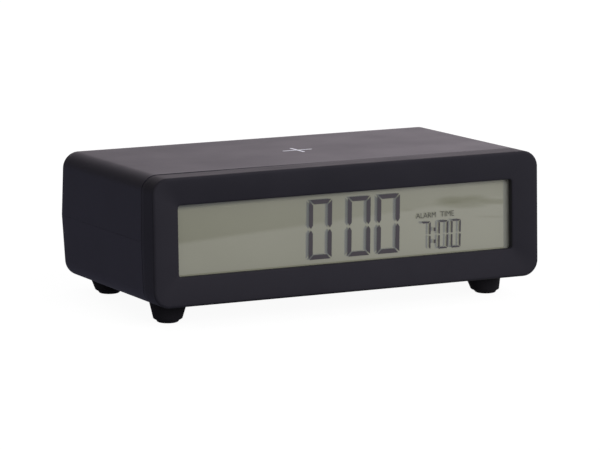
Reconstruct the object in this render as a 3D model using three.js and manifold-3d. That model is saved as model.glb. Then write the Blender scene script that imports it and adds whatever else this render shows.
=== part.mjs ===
// Digital alarm clock: a wide, low housing of two half shells and a front frame, with a liquid crystal
// display behind the frame, keys and a battery door in the back, and four tapered feet.
// Millimetres. The clock is drawn upright (x right, y from front to back, z up, z = 0 at the underside of
// the housing), then leaned back onto its feet and centred on the surface that it stands on.

import * as THREE from 'three';
import { mergeVertices } from 'three/addons/utils/BufferGeometryUtils.js';
import Module from 'manifold-3d';

const wasm = await Module();
wasm.setup();

// Housing
const bodyWidth = 170;
const bodyHeight = 51.3;
const bodyDepth = 97.9;
const cornerRadius = 6.6;
const sideDraft = 0.42;
const backDraft = 1.95;
const backFillet = 1.25;
const shellWall = 2.4;
const clearance = 0.3;

// Front frame
const frameDepth = 11.56;
const frontFillet = 0.7;
const windowSideMargin = 11.2;
const windowTopMargin = 11.35;
const windowBottomMargin = 11.6;
const windowCornerRadius = 1.2;
const bezelDrop = 1.65;
const windowRecess = 2.65;
const skirtLength = 3;
const skirtWall = 1.2;

// Display
const displaySideLap = 2.5;
const displayTopLap = 1.5;
const displayBottomLap = 2.4;
const glassThickness = 1.1;
const contactLedge = 2.1;
const filmThickness = 0.2;
const segmentThickness = 0.15;
const guideThickness = 2.2;
const sheetThickness = 0.4;
const holderWall = 1;
const holderFlange = 1.3;
const holderLip = 1;
const stripInset = 8;
const guideInset = 0.4;
const ledHeight = 4;
const ledGap = 1;
const holderScrewInset = 23;
const earHalf = 2.6;
const ledWidth = 2;

// Digits: heights, strokes and places on the display, from its middle
const digitHeight = 23.7;
const digitWidth = 10.05;
const digitStroke = 1.75;
const digitLeftEdges = [-16.25, 0.78, 13.8];
const digitFoot = 13.6;
const smallHeight = 11.45;
const smallWidth = 4.35;
const smallStroke = 0.7;
const smallLeftEdges = [33.25, 41, 46.55];
const smallFoot = 13.65;
const colonPlace = 39.25;
const colonDot = 0.8;
const colonHeight = 1.7;
const colonShares = [0.25, 0.7];
const segmentGap = 0.6;
const smallSegmentGap = 0.35;
const middleGap = 0.6;
const middleRise = 0.25;
const barTip = 0.75;
const digitSlant = 0.027;

// Circuit boards
const boardThickness = 1.6;
const boardEdgeGap = 0.6;
const ribbonWidth = 8;
const ribbonThickness = 0.6;
const ribbonPlace = 0;
const leadRadius = 0.6;
const leadStub = 2.5;
const leadBend = 5;
const leadRest = 1.2;
const touchLeadDrop = 9;
const batteryLeadInsets = [14, 24];
const ribbonSag = 4;
const ribbonLift = 6;
const ribbonFoot = 3;
const chipPlace = 22;
const chipRadius = 6;
const chipFoot = 0.4;
const chipRise = 1.6;
const crystalRadius = 1.1;
const crystalLength = 7;
const crystalPlace = 34;
const crystalLift = 6;
const capacitorRadius = 2.5;
const capacitorHeight = 7;
const capacitorPlace = -34;
const capacitorLift = 8;

// Rear keys and alarm switch
const keyPlaces = [-45, -27, -9, 9];
const keyNames = ['hour_button', 'minute_button', 'time_set_button', 'alarm_set_button'];
const switchPlace = 36;
const keyDrop = 12.3;
const keyRadius = 4;
const keyProud = 1.2;
const keyTravel = 0.8;
const keyFlange = 1;
const keyFlangeLap = 1.2;
const keyStemRadius = 1.5;
const keyStemLength = 1.5;
const plungerHeight = 0.6;
const plungerRadius = 1.7;
const tactHeight = 3.5;
const tactWidth = 6;
const knobWidth = 4.6;
const knobHeight = 3.4;
const knobProud = 1.8;
const knobFlangeLap = 1;
const knobStemHalf = 1;
const knobRibPitch = 1.3;
const knobRibHalf = 0.3;
const knobRibRise = 0.4;
const switchTravel = 4;
const switchBodyLength = 13;
const switchBodyHeight = 6.5;
const controlBoardHeight = 16;
const controlBoardOverhang = 7.5;

// Battery bay
const cellRadius = 7.25;
const cellLength = 50.5;
const nubRadius = 2.75;
const nubHeight = 1.2;
const cellRim = 0.4;
const cellPlay = 0.35;
const springLength = 4.4;
const springWire = 0.4;
const springCoils = 4;
const springFootRadius = 5;
const springTipRadius = 2.8;
const contactThickness = 0.5;
const contactHalf = 5.5;
const trayWall = 1.2;
const bayHeight = 12.95;
const doorHeight = 17.5;
const doorOverlap = 1;
const doorPinRadius = 0.7;
const doorPinLength = 1.6;
const doorPinBoss = 2.4;
const latchLength = 1.6;
const latchDrop = 1.02;
const latchThickness = 0.9;
const latchWidth = 12;
const thumbNotchRadius = 9;
const thumbNotchDepth = 1;

// Case screws, from the housing's side, front and back
const caseScrewInset = 27;
const caseScrewFront = 34;
const caseScrewRear = 30;
const screwPostRadius = 3.6;
const screwTubeRadius = 4;
const screwWellRadius = 2.6;
const screwWellDepth = 8;
const screwRadius = 1.3;
const screwHeadRadius = 2.3;
const screwHeadHeight = 1.8;
const screwRoof = 3.7;
const smallScrewRadius = 0.8;
const smallHeadRadius = 1.7;
const smallHeadHeight = 1.2;
const bossRadius = 1.7;

// Sounder in the lower half
const sounderRadius = 12;
const sounderHeight = 6;
const sounderPlace = [-30, 46];
const soundHoleRadius = 0.9;
const soundHoleRing = 5;
const soundHoleCount = 8;
const sounderRingHeight = 2.5;
const sounderRingWall = 1.2;
const sounderPort = 2;

// Feet
const footSideInset = 15.1;
const footFront = 21.45;
const footRearInset = 14.65;
const footFrontHeight = 8.62;
const footRearHeight = 6.07;
const footTopRadius = 7.85;
const footLowRadius = 5.85;
const footSoleRadius = 4.1;
const footEdgeHeight = 1.5;
const footSplay = 0.107;
const footLean = 0.12;
const spigotRadius = 2.7;
const spigotRise = 3.4;

// Touch key in the top
const markPlace = [0.9, 51.2];
const markSpan = [13.2, 13.6];
const markStroke = 1.1;
const markDepth = 0.3;
const touchPlateSize = 26;
const touchPlateThickness = 0.5;

// Smoothness of round shapes
const cornerSteps = 6;
const filletSteps = 4;
const roundSides = 24;
const smallSides = 10;
const springSteps = 8;
const springSides = 5;
const leadSides = 6;
const leadSteps = 3;
const ribbonSteps = 24;
const leastRadius = 0.4;

// Depth by which shapes that are joined or cut run into each other
const bite = 1;

// Sizes worked out from those above
const middle = bodyHeight / 2;
const keyHeight = bodyHeight - keyDrop;
const halfWidth = bodyWidth / 2 - sideDraft;
const backAngle = Math.atan(backDraft / middle);
const backAt = (z) => bodyDepth - backDraft * Math.abs(z - middle) / middle;
const leanAngle = Math.atan((footFrontHeight - footRearHeight) / (bodyDepth - footRearInset - footFront));
const halfGap = clearance / 2;
const screwTop = bodyHeight - shellWall - screwRoof;
const windowHalf = halfWidth - windowSideMargin;
const windowLow = windowBottomMargin;
const windowHigh = bodyHeight - windowTopMargin;
const filmFront = bezelDrop + windowRecess;
const rimBack = filmFront - clearance;
const glassFront = filmFront + filmThickness + clearance;
const glassHalf = windowHalf + displaySideLap;
const glassLow = windowLow - displayBottomLap;
const glassHigh = windowHigh + displayTopLap;
const rearGlassLow = glassLow + contactLedge;
const guideFront = glassFront + 2 * glassThickness + clearance;
const guideBack = guideFront + guideThickness;
const sheetFront = guideBack + clearance;
const flangeFront = sheetFront + sheetThickness + clearance;
const holderBack = flangeFront + holderFlange;
const boardFront = holderBack + clearance;
const boardBack = boardFront + boardThickness;
const componentSeat = boardBack + clearance;
const screwTip = rimBack + bite + clearance;
const skirtInset = shellWall + clearance;
const cavityInset = skirtInset + skirtWall;
const boardHalf = halfWidth - cavityInset - 2 * boardEdgeGap;
const boardLow = cavityInset + boardEdgeGap;
const boardHigh = bodyHeight - boardLow;
const stripHalf = glassHalf - stripInset;
const guideHalf = windowHalf - ledWidth - ledGap;
const guideLow = rearGlassLow + guideInset;
const guideHigh = glassHigh - guideInset;
const holderHalf = glassHalf + clearance + holderWall;
const holderLow = glassLow - clearance - holderWall;
const holderHigh = glassHigh + clearance + holderWall;
const holderScrews = [-1, 1].flatMap((side) => [
  [side * (halfWidth - holderScrewInset), holderHigh + clearance + bossRadius],
  [side * (halfWidth - holderScrewInset), holderLow - clearance - bossRadius],
]);
const footReach = bodyWidth / 2 - footSideInset;
const caseScrews = [-1, 1].flatMap((side) => [
  [side * (bodyWidth / 2 - caseScrewInset), caseScrewFront],
  [side * (bodyWidth / 2 - caseScrewInset), bodyDepth - caseScrewRear],
]);
const feet = {
  foot_front_left: [-1, footFront],
  foot_front_right: [1, footFront],
  foot_rear_left: [-1, bodyDepth - footRearInset],
  foot_rear_right: [1, bodyDepth - footRearInset],
};

// Materials
const finish = (color, roughness, metalness = 0) => (
  new THREE.MeshStandardMaterial({ color, roughness, metalness }));
const anthracite = finish(0x3a383d, 0.5);
const frameGrey = finish(0x333136, 0.5);
const rubber = finish(0x151517, 0.7);
const displayGreen = finish(0x8b8c80, 0.3);
const displayGlass = finish(0xa9ada3, 0.2);
const markPale = finish(0xa4a1a2, 0.5);
const clearPlastic = finish(0xdfe6e8, 0.2);
const whitePlastic = finish(0xe6e4dd, 0.6);
const innerPlastic = finish(0x26262a, 0.6);
const boardGreen = finish(0x2f6a45, 0.6);
const chipBlack = finish(0x141416, 0.5);
const steel = finish(0xb9bbbe, 0.35, 1);
const copper = finish(0xb87844, 0.4, 1);
const wireRed = finish(0xa8231c, 0.5);
const wireBlack = finish(0x1b1b1d, 0.5);
const ribbonGrey = finish(0x9a9ca0, 0.6);
const cellWrap = finish(0x3b4a59, 0.4);

// Closed mesh from positions and triangles, turned so that its faces point out
function closedMesh(points, triangles) {
  const geometry = new THREE.BufferGeometry();
  geometry.setAttribute('position', new THREE.Float32BufferAttribute(points.flat(), 3));
  let volume = 0;
  const corner = [0, 1, 2].map(() => new THREE.Vector3());
  for (const triangle of triangles) {
    triangle.forEach((index, k) => corner[k].set(...points[index]));
    volume += corner[0].dot(corner[1].cross(corner[2]));
  }
  const turned = volume < 0 ? triangles.map(([a, b, c]) => [a, c, b]) : triangles;
  geometry.setIndex(turned.flat());
  return geometry;
}

// Right-hand half of an outline with rounded corners, from the underside to the top, as [x, z]
function roundedSide(half, low, high, radius, draft = 0) {
  const points = [];
  for (let k = 0; k <= cornerSteps; k += 1) {
    const angle = (k / cornerSteps - 1) * Math.PI / 2;
    points.push([half - radius + radius * Math.cos(angle), low + radius + radius * Math.sin(angle)]);
  }
  points.push([half + draft, (low + high) / 2]);
  for (let k = 0; k <= cornerSteps; k += 1) {
    const angle = (k / cornerSteps) * Math.PI / 2;
    points.push([half - radius + radius * Math.cos(angle), high - radius + radius * Math.sin(angle)]);
  }
  return points;
}

// The housing's outline, drawn in by inset on every side
function halfOutline(inset, draft = 0) {
  const radius = Math.max(cornerRadius - inset, leastRadius);
  return roundedSide(halfWidth - inset, inset, bodyHeight - inset, radius, draft);
}

// Full ring of points from a half outline; depth gives y from z
function ringFrom(half, depth) {
  const right = half.map(([x, z]) => [x, depth(z), z]);
  const left = half.map(([x, z]) => [-x, depth(z), z]).reverse();
  return [...right, ...left];
}

// Skin between rings of equal length; an open run is closed by a cap at each end
function skin(rings, closed) {
  const count = rings[0].length;
  const points = rings.flat();
  const triangles = [];
  const last = closed ? rings.length : rings.length - 1;
  for (let row = 0; row < last; row += 1) {
    const here = row * count;
    const next = ((row + 1) % rings.length) * count;
    for (let k = 0; k < count; k += 1) {
      const m = (k + 1) % count;
      triangles.push([here + k, here + m, next + m], [here + k, next + m, next + k]);
    }
  }
  const cap = (start, flip) => {
    for (let k = 0; k < count / 2 - 1; k += 1) {
      const [a, b] = [start + k, start + k + 1];
      const [c, d] = [start + count - 2 - k, start + count - 1 - k];
      const faces = [[a, b, c], [a, c, d]];
      triangles.push(...(flip ? faces.map(([p, q, r]) => [p, r, q]) : faces));
    }
  };
  if (!closed) {
    cap(0, true);
    cap((rings.length - 1) * count, false);
  }
  return closedMesh(points, triangles);
}

// Two numbers in rising order
const between = (a, b) => [Math.min(a, b), Math.max(a, b)];

// Plain shapes: a box between two corners, and rods along each axis
function box(x0, x1, y0, y1, z0, z1) {
  const shape = new THREE.BoxGeometry(x1 - x0, y1 - y0, z1 - z0);
  return shape.translate((x0 + x1) / 2, (y0 + y1) / 2, (z0 + z1) / 2);
}

function rodY(radius, y0, y1, x, z, sides = roundSides) {
  return new THREE.CylinderGeometry(radius, radius, y1 - y0, sides).translate(x, (y0 + y1) / 2, z);
}

function rodX(radius, x0, x1, y, z, sides = smallSides) {
  const shape = new THREE.CylinderGeometry(radius, radius, x1 - x0, sides).rotateZ(Math.PI / 2);
  return shape.translate((x0 + x1) / 2, y, z);
}

function post(radius, z0, z1, x, y, sides = roundSides) {
  const shape = new THREE.CylinderGeometry(radius, radius, z1 - z0, sides).rotateX(Math.PI / 2);
  return shape.translate(x, y, (z0 + z1) / 2);
}

// Outline in the xz plane pushed along y
function plateY(points, y0, y1) {
  const shape = new THREE.Shape(points.map(([x, z]) => new THREE.Vector2(x, z)));
  const body = new THREE.ExtrudeGeometry(shape, { depth: y1 - y0, bevelEnabled: false });
  return body.rotateX(Math.PI / 2).translate(0, y1, 0);
}

// Round lead or wire along a smooth curve
function lead(points, radius) {
  const curve = new THREE.CatmullRomCurve3(points.map((p) => new THREE.Vector3(...p)), false, 'centripetal');
  const section = new THREE.Shape();
  for (let k = 0; k < leadSides; k += 1) {
    const angle = k * 2 * Math.PI / leadSides;
    section[k ? 'lineTo' : 'moveTo'](radius * Math.cos(angle), radius * Math.sin(angle));
  }
  return new THREE.ExtrudeGeometry(section, { steps: leadSteps * points.length, extrudePath: curve });
}

// Boolean cuts and joins on closed shapes
function solid(shape) {
  if (!shape.isBufferGeometry) return shape;
  const bare = shape.clone();
  bare.deleteAttribute('normal');
  bare.deleteAttribute('uv');
  const merged = mergeVertices(bare, 1e-4);
  return new wasm.Manifold(new wasm.Mesh({
    numProp: 3,
    vertProperties: new Float32Array(merged.attributes.position.array),
    triVerts: new Uint32Array(merged.index.array),
  }));
}

const join = (first, ...others) => others.reduce((sum, next) => sum.add(solid(next)), solid(first));
const cut = (first, ...others) => others.reduce((rest, next) => rest.subtract(solid(next)), solid(first));
const keep = (first, next) => solid(first).intersect(solid(next));

function geometryOf(shape) {
  if (shape.isBufferGeometry) return shape;
  const mesh = shape.getMesh();
  const geometry = new THREE.BufferGeometry();
  const points = new Float32Array(mesh.vertProperties);
  geometry.setAttribute('position', new THREE.BufferAttribute(points, 3));
  geometry.setIndex(new THREE.BufferAttribute(new Uint32Array(mesh.triVerts), 1));
  return geometry;
}

// Groups: the whole clock, and two frames on the back wall with y pointing out of the wall
const clock = new THREE.Group();
const upperBack = new THREE.Group();
upperBack.position.set(0, backAt(keyHeight), keyHeight);
upperBack.rotation.x = backAngle;
const lowerBack = new THREE.Group();
lowerBack.position.set(0, backAt(bayHeight), bayHeight);
lowerBack.rotation.x = -backAngle;
for (const panel of [upperBack, lowerBack]) {
  panel.updateMatrix();
  clock.add(panel);
}
const onPanel = (panel, shape) => geometryOf(shape).clone().applyMatrix4(panel.matrix);

function add(name, shape, material, group = clock) {
  const geometry = geometryOf(shape);
  geometry.computeVertexNormals();
  const mesh = new THREE.Mesh(geometry, material);
  mesh.name = name;
  group.add(mesh);
}

// Housing block from the seam to the drafted back wall, drawn in by inset on every side
function housingBlock(inset, front) {
  const rings = [ringFrom(halfOutline(inset, sideDraft), () => front)];
  const radius = inset ? 0 : backFillet;
  const steps = radius ? filletSteps : 0;
  for (let k = 0; k <= steps; k += 1) {
    const angle = radius ? (k / steps) * Math.PI / 2 : 0;
    const drawn = radius * (1 - Math.cos(angle));
    const rise = radius * (1 - Math.sin(angle));
    rings.push(ringFrom(halfOutline(inset + drawn, sideDraft), (z) => backAt(z) - inset - rise));
  }
  return skin(rings, false);
}

const seam = frameDepth + halfGap;
const hollowShell = cut(housingBlock(0, seam), housingBlock(shellWall, seam - bite));
const farOut = bodyWidth + bodyDepth;
const aboveParting = box(-farOut, farOut, -farOut, farOut, middle + halfGap, farOut);
const belowParting = box(-farOut, farOut, -farOut, farOut, -farOut, middle - halfGap);

// Plus mark set into the top, and the hollow that takes it
function markShape(grow, low, high) {
  const [x, y] = markPlace;
  const [across, along] = markSpan.map((span) => span / 2 + grow);
  const stroke = markStroke / 2 + grow;
  return join(
    box(x - across, x + across, y - stroke, y + stroke, low, high),
    box(x - stroke, x + stroke, y - along, y + along, low, high),
  );
}

// Rear keys: a round cap through the wall, a flange behind it and a stem towards the key switch
const flangeTop = -(shellWall + clearance);
const flangeLow = flangeTop - keyFlange;
const stemEnd = flangeLow - keyStemLength;
const plungerTop = stemEnd - keyTravel - clearance;
const tactTop = plungerTop - plungerHeight;
const controlFront = tactTop - tactHeight - clearance;
const controlBack = controlFront - boardThickness;
const controlLeft = Math.min(...keyPlaces) - tactWidth / 2 - controlBoardOverhang;
const controlRight = switchPlace + switchBodyLength / 2 + controlBoardOverhang;
const controlScrews = [controlLeft + bossRadius + clearance, controlRight - bossRadius - clearance];

function keyCap() {
  return join(
    rodY(keyRadius, flangeLow + keyFlange / 2, keyProud, 0, 0),
    rodY(keyRadius + keyFlangeLap, flangeLow, flangeTop, 0, 0),
    rodY(keyStemRadius, stemEnd, flangeLow + keyFlange / 2, 0, 0, smallSides),
  );
}

// Alarm switch: a ribbed knob in a slot; it starts at the left end and slides right
const knobStart = switchPlace - switchTravel / 2;
const knobFlangeWidth = knobWidth + 2 * switchTravel;
function switchKnob() {
  const rise = knobHeight / 2;
  const root = flangeLow + keyFlange / 2;
  const ribs = [-1, 0, 1].map((k) => box(k * knobRibPitch - knobRibHalf, k * knobRibPitch + knobRibHalf,
    knobProud - knobRibRise, knobProud + knobRibRise, -rise, rise));
  return join(
    box(-knobWidth / 2, knobWidth / 2, root, knobProud, -rise, rise),
    box(-knobFlangeWidth / 2, knobFlangeWidth / 2, flangeLow, flangeTop, -rise - knobFlangeLap,
      rise + knobFlangeLap),
    box(-knobStemHalf, knobStemHalf, stemEnd, root, -knobStemHalf, knobStemHalf),
    ...ribs,
  );
}

const keyHoles = keyPlaces.map((x) => rodY(keyRadius + clearance, -2 * shellWall, shellWall, x, 0));
const slotHalf = (knobWidth + switchTravel) / 2 + clearance;
const slotRise = knobHeight / 2 + clearance;
const knobSlot = box(
  switchPlace - slotHalf, switchPlace + slotHalf, -2 * shellWall, shellWall, -slotRise, slotRise);
const controlBosses = controlScrews.map((x) => (
  cut(
    rodY(bossRadius, controlFront + clearance, -shellWall / 2, x, 0),
    rodY(smallScrewRadius + clearance, controlFront - bite, -shellWall, x, 0, smallSides),
  )));

// Upper half: wall, case posts, board bosses, key holes and the mark's hollow
function upperShell() {
  const posts = caseScrews.map(([x, y]) => post(screwPostRadius, middle + halfGap, bodyHeight - bite, x, y));
  const bores = caseScrews.map(([x, y]) => (
    post(screwRadius + clearance, middle - bite, screwTop + clearance, x, y, smallSides)));
  const bosses = controlBosses.map((boss) => onPanel(upperBack, boss));
  const holes = [...keyHoles, knobSlot].map((hole) => onPanel(upperBack, hole));
  const hollow = markShape(clearance, bodyHeight - markDepth - clearance, bodyHeight + bite);
  return cut(join(keep(hollowShell, aboveParting), ...posts, ...bosses), ...bores, ...holes, hollow);
}

// Battery bay in the lower back wall
const bayLength = 2 * cellLength + springLength + 2 * contactThickness + 6 * clearance;
const bayHalf = bayLength / 2;
const trayFront = -(shellWall + clearance);
const cellDepth = trayFront - latchLength - clearance - cellRadius;
const trayDepth = cellDepth - cellRadius - cellPlay;
const trayHalf = cellRadius + cellPlay;
const trayBack = trayDepth - trayWall;
const doorHalf = bayHalf + doorOverlap;
const doorPivot = [-shellWall / 2, -doorHeight / 2 + shellWall / 2];
const openingTop = doorHeight / 2 + clearance;
const openingHalf = doorHalf + clearance;

// Round lower edge about the hinge line, from an angle on to the inner face
function hingeRound(reach, from) {
  return Array.from({ length: cornerSteps + 1 }, (_, k) => {
    const angle = from + (2 * Math.PI - from) * k / cornerSteps;
    return [doorPivot[0] - reach * Math.cos(angle), doorPivot[1] + reach * Math.sin(angle)];
  });
}

// Section of the door, and of its opening, which is square outside so that the door can swing down
const doorOutline = [
  ...hingeRound(shellWall / 2, Math.PI),
  [-shellWall, doorHeight / 2],
  [0, doorHeight / 2],
];
const openingReach = shellWall / 2 + clearance;
const openingOutline = [
  [clearance, doorPivot[1] - openingReach],
  ...hingeRound(openingReach, 1.5 * Math.PI),
  [-shellWall - clearance, openingTop],
  [clearance, openingTop],
];

// Section in the yz plane pushed along x
function barX(points, x0, x1) {
  const shape = new THREE.Shape(points.map(([y, z]) => new THREE.Vector2(y, z)));
  const body = new THREE.ExtrudeGeometry(shape, { depth: x1 - x0, bevelEnabled: false });
  const turn = new THREE.Matrix4().makeBasis(
    new THREE.Vector3(0, 1, 0), new THREE.Vector3(0, 0, 1), new THREE.Vector3(1, 0, 0));
  return body.applyMatrix4(turn).translate(x0, 0, 0);
}

function batteryDoor() {
  const [y, z] = doorPivot;
  const latchTop = trayHalf - latchDrop;
  const pins = [-1, 1].map((side) => (
    rodX(doorPinRadius, ...between(side * (doorHalf - bite), side * (doorHalf + doorPinLength)), y, z)));
  const latch = box(-latchWidth / 2, latchWidth / 2, -shellWall - latchLength, -shellWall / 2,
    latchTop - latchThickness, latchTop);
  return join(barX(doorOutline, -doorHalf, doorHalf), ...pins, latch);
}

// Lower half: wall, case tubes, foot sockets, battery opening, pin bosses and sound holes
function lowerShell() {
  const tubes = caseScrews.map(([x, y]) => post(screwTubeRadius, bite, middle - halfGap, x, y));
  const wells = caseScrews.flatMap(([x, y]) => [
    post(screwWellRadius, -bite, screwWellDepth, x, y),
    post(screwRadius + clearance, screwWellDepth - bite, middle + bite, x, y, smallSides),
  ]);
  const sockets = Object.values(feet).map(([side, y]) => (
    post(spigotRadius + clearance, -bite, shellWall + bite, side * footReach, y)));
  const [sx, sy] = sounderPlace;
  const sounderRingTop = shellWall + sounderRingHeight;
  const seat = cut(
    post(sounderRadius + clearance + sounderRingWall, bite, sounderRingTop, sx, sy),
    post(sounderRadius + clearance, 0, sounderRingTop + bite, sx, sy),
  );
  const soundHoles = Array.from({ length: soundHoleCount + 1 }, (_, k) => {
    const angle = k * 2 * Math.PI / soundHoleCount;
    const reach = k < soundHoleCount ? soundHoleRing : 0;
    const [x, y] = [sx + reach * Math.cos(angle), sy + reach * Math.sin(angle)];
    return post(soundHoleRadius, -bite, shellWall + bite, x, y, smallSides);
  });
  const [pinY, pinZ] = doorPivot;
  const pinEnd = openingHalf + doorPinLength + doorPinBoss / 2;
  const pinBosses = [-1, 1].map((side) => box(...between(side * openingHalf, side * pinEnd),
    -shellWall - bite, -shellWall / 2, pinZ - doorPinBoss, pinZ + doorPinBoss));
  const opening = barX(openingOutline, -openingHalf, openingHalf);
  const pinHoles = rodX(doorPinRadius + clearance, -openingHalf - doorPinLength, openingHalf + doorPinLength,
    pinY, pinZ);
  const notch = new THREE.SphereGeometry(thumbNotchRadius, roundSides, smallSides)
    .translate(0, thumbNotchRadius - thumbNotchDepth, openingTop);
  const bosses = pinBosses.map((boss) => onPanel(lowerBack, boss));
  const cuts = [opening, pinHoles, notch].map((shape) => onPanel(lowerBack, shape));
  return cut(join(keep(hollowShell, belowParting), ...tubes, seat, ...bosses),
    ...wells, ...sockets, ...soundHoles, ...cuts);
}

// Front frame: one closed skin from the seam, round the front, down the bezel and back inside
function frontFrame() {
  const backEdge = frameDepth - halfGap;
  const outer = (inset, y) => ringFrom(halfOutline(inset), () => y);
  const windowSide = roundedSide(windowHalf, windowLow, windowHigh, windowCornerRadius);
  const opening = (y) => ringFrom(windowSide, () => y);
  const rings = [outer(0, backEdge)];
  for (let k = 0; k <= filletSteps; k += 1) {
    const angle = (k / filletSteps) * Math.PI / 2;
    rings.push(outer(frontFillet * (1 - Math.cos(angle)), frontFillet * (1 - Math.sin(angle))));
  }
  rings.push(opening(bezelDrop), opening(rimBack));
  rings.push(outer(cavityInset, rimBack), outer(cavityInset, backEdge + skirtLength));
  rings.push(outer(skirtInset, backEdge + skirtLength), outer(skirtInset, backEdge));
  const bosses = holderScrews.map(([x, z]) => (
    rodY(bossRadius, rimBack - bite / 2, flangeFront - clearance, x, z)));
  const bores = holderScrews.map(([x, z]) => (
    rodY(smallScrewRadius + clearance, screwTip - clearance, flangeFront + bite, x, z, smallSides)));
  return cut(join(skin(rings, true), ...bosses), ...bores);
}

// Display stack
function liquidCrystalCell() {
  const rearFront = glassFront + glassThickness;
  return join(
    box(-glassHalf, glassHalf, glassFront, rearFront, glassLow, glassHigh),
    box(-glassHalf, glassHalf, rearFront - glassThickness / 2, rearFront + glassThickness, rearGlassLow,
      glassHigh),
  );
}

// Seven-segment digit: bars cut at forty-five degrees at the corners and pointed at the middle, leaning a
// little; lit is a string with the letters a to f, from the top bar clockwise
function digit(left, foot, width, height, stroke, gap, lit) {
  const [half, g] = [stroke / 2, gap / 2];
  const [x0, x1] = [left, left + width];
  const [z0, z1, z2] = [foot, foot + height / 2 + middleRise, foot + height];
  const [tip, blunt] = [middleGap / 2, middleGap / 2 + barTip * stroke];
  const upright = (x, side, end, out) => [[x, end - out * g], [x, z1 + out * blunt],
    [x + side * half, z1 + out * tip], [x + side * stroke, z1 + out * blunt],
    [x + side * stroke, end - out * (stroke + g)]];
  const across = (end, out) => [[x0 + g, end], [x1 - g, end], [x1 - stroke - g, end - out * stroke],
    [x0 + stroke + g, end - out * stroke]];
  const bars = {
    a: across(z2, 1),
    b: upright(x1, -1, z2, 1),
    c: upright(x1, -1, z0, -1),
    d: across(z0, -1),
    e: upright(x0, 1, z0, -1),
    f: upright(x0, 1, z2, 1),
  };
  const lean = ([x, z]) => [x + digitSlant * (z - z1), z];
  return [...lit].map((letter) => (
    plateY(bars[letter].map(lean), filmFront - segmentThickness, filmFront + filmThickness / 2)));
}

// Display film: the cell's front polariser, with the dark segments standing on it
function displayFilm() {
  const zero = 'abcdef';
  const seven = 'abc';
  const dot = (z) => box(colonPlace - colonDot / 2, colonPlace + colonDot / 2, filmFront - segmentThickness,
    filmFront + filmThickness / 2, z - colonHeight / 2, z + colonHeight / 2);
  const dots = colonShares.map((share) => dot(smallFoot + share * smallHeight));
  return join(...[
    box(-glassHalf, glassHalf, filmFront, filmFront + filmThickness, glassLow, glassHigh),
    ...digitLeftEdges.flatMap((x) => (
      digit(x, digitFoot, digitWidth, digitHeight, digitStroke, segmentGap, zero))),
    ...smallLeftEdges.flatMap((x, k) => (
      digit(x, smallFoot, smallWidth, smallHeight, smallStroke, smallSegmentGap, k ? zero : seven))),
    ...dots,
  ]);
}

// Holder: a tray round the cell and the light guide, with a lip behind them and four ears
function displayHolder() {
  const front = rimBack + clearance;
  const shell = box(-holderHalf, holderHalf, front, holderBack, holderLow, holderHigh);
  const ears = holderScrews.map(([x, z]) => box(x - earHalf, x + earHalf, flangeFront, holderBack,
    Math.min(z - bossRadius, middle), Math.max(z + bossRadius, middle)));
  const pocket = box(holderWall - holderHalf, holderHalf - holderWall, front - bite, flangeFront,
    holderLow + holderWall, holderHigh - holderWall);
  const back = box(-glassHalf, glassHalf, flangeFront - bite, holderBack + bite, windowLow + holderLip,
    windowHigh);
  const slot = box(-stripHalf - clearance, stripHalf + clearance, flangeFront - bite, holderBack + bite,
    glassLow, rearGlassLow - clearance);
  const bores = holderScrews.map(([x, z]) => (
    rodY(smallScrewRadius + clearance, flangeFront - bite, holderBack + bite, x, z, smallSides)));
  return cut(join(shell, ...ears), pocket, back, slot, ...bores);
}

// Small screw along y: a head and a plain shank
function smallScrew(x, headFront, tip, z) {
  const step = Math.sign(tip - headFront) * smallHeadHeight;
  return join(
    rodY(smallHeadRadius, ...between(headFront, headFront - step), x, z, smallSides),
    rodY(smallScrewRadius, ...between(tip, headFront - step / 2), x, z, smallSides),
  );
}

// Foot: a tapered stub that splays and leans, its sole cut level with the surface that the clock stands on
function foot(side, y) {
  const x = side * footReach;
  const slope = Math.tan(leanAngle);
  const soleAt = (py) => footFrontHeight - (py - footFront) * slope;
  const height = soleAt(y);
  const edge = 1 - footEdgeHeight / height;
  const levels = [[clearance / height, footTopRadius], [edge, footLowRadius], [1, footSoleRadius]];
  const rings = levels.map(([share, radius]) => (
    Array.from({ length: roundSides }, (_, k) => {
      const angle = k * 2 * Math.PI / roundSides;
      const px = x + side * footSplay * height * share + radius * Math.cos(angle);
      const py = y - footLean * height * share + radius * Math.sin(angle);
      return [px, py, share === levels[0][0] ? -clearance : -share * soleAt(py)];
    })));
  const points = rings.flat();
  const triangles = [];
  for (let row = 0; row < 2; row += 1) {
    for (let k = 0; k < roundSides; k += 1) {
      const m = (k + 1) % roundSides;
      const [a, b] = [row * roundSides + k, row * roundSides + m];
      triangles.push([a, b, b + roundSides], [a, b + roundSides, a + roundSides]);
    }
  }
  for (let k = 1; k < roundSides - 1; k += 1) {
    const end = 2 * roundSides;
    triangles.push([0, k + 1, k], [end, end + k, end + k + 1]);
  }
  const spigot = post(spigotRadius, -bite, shellWall + spigotRise, x, y);
  return join(closedMesh(points, triangles), spigot);
}

// AA cell along x: a wrapped can with its raised positive end at the right
function cell(start) {
  const shoulder = cellLength - nubHeight;
  const profile = [[0, 0], [cellRadius - cellRim, 0], [cellRadius, cellRim], [cellRadius, shoulder - cellRim],
    [cellRadius - cellRim, shoulder], [nubRadius, shoulder], [nubRadius, cellLength], [0, cellLength]];
  const can = new THREE.LatheGeometry(profile.map(([r, h]) => new THREE.Vector2(r, h)), roundSides);
  return can.rotateZ(-Math.PI / 2).translate(start, cellDepth, 0);
}

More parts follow.
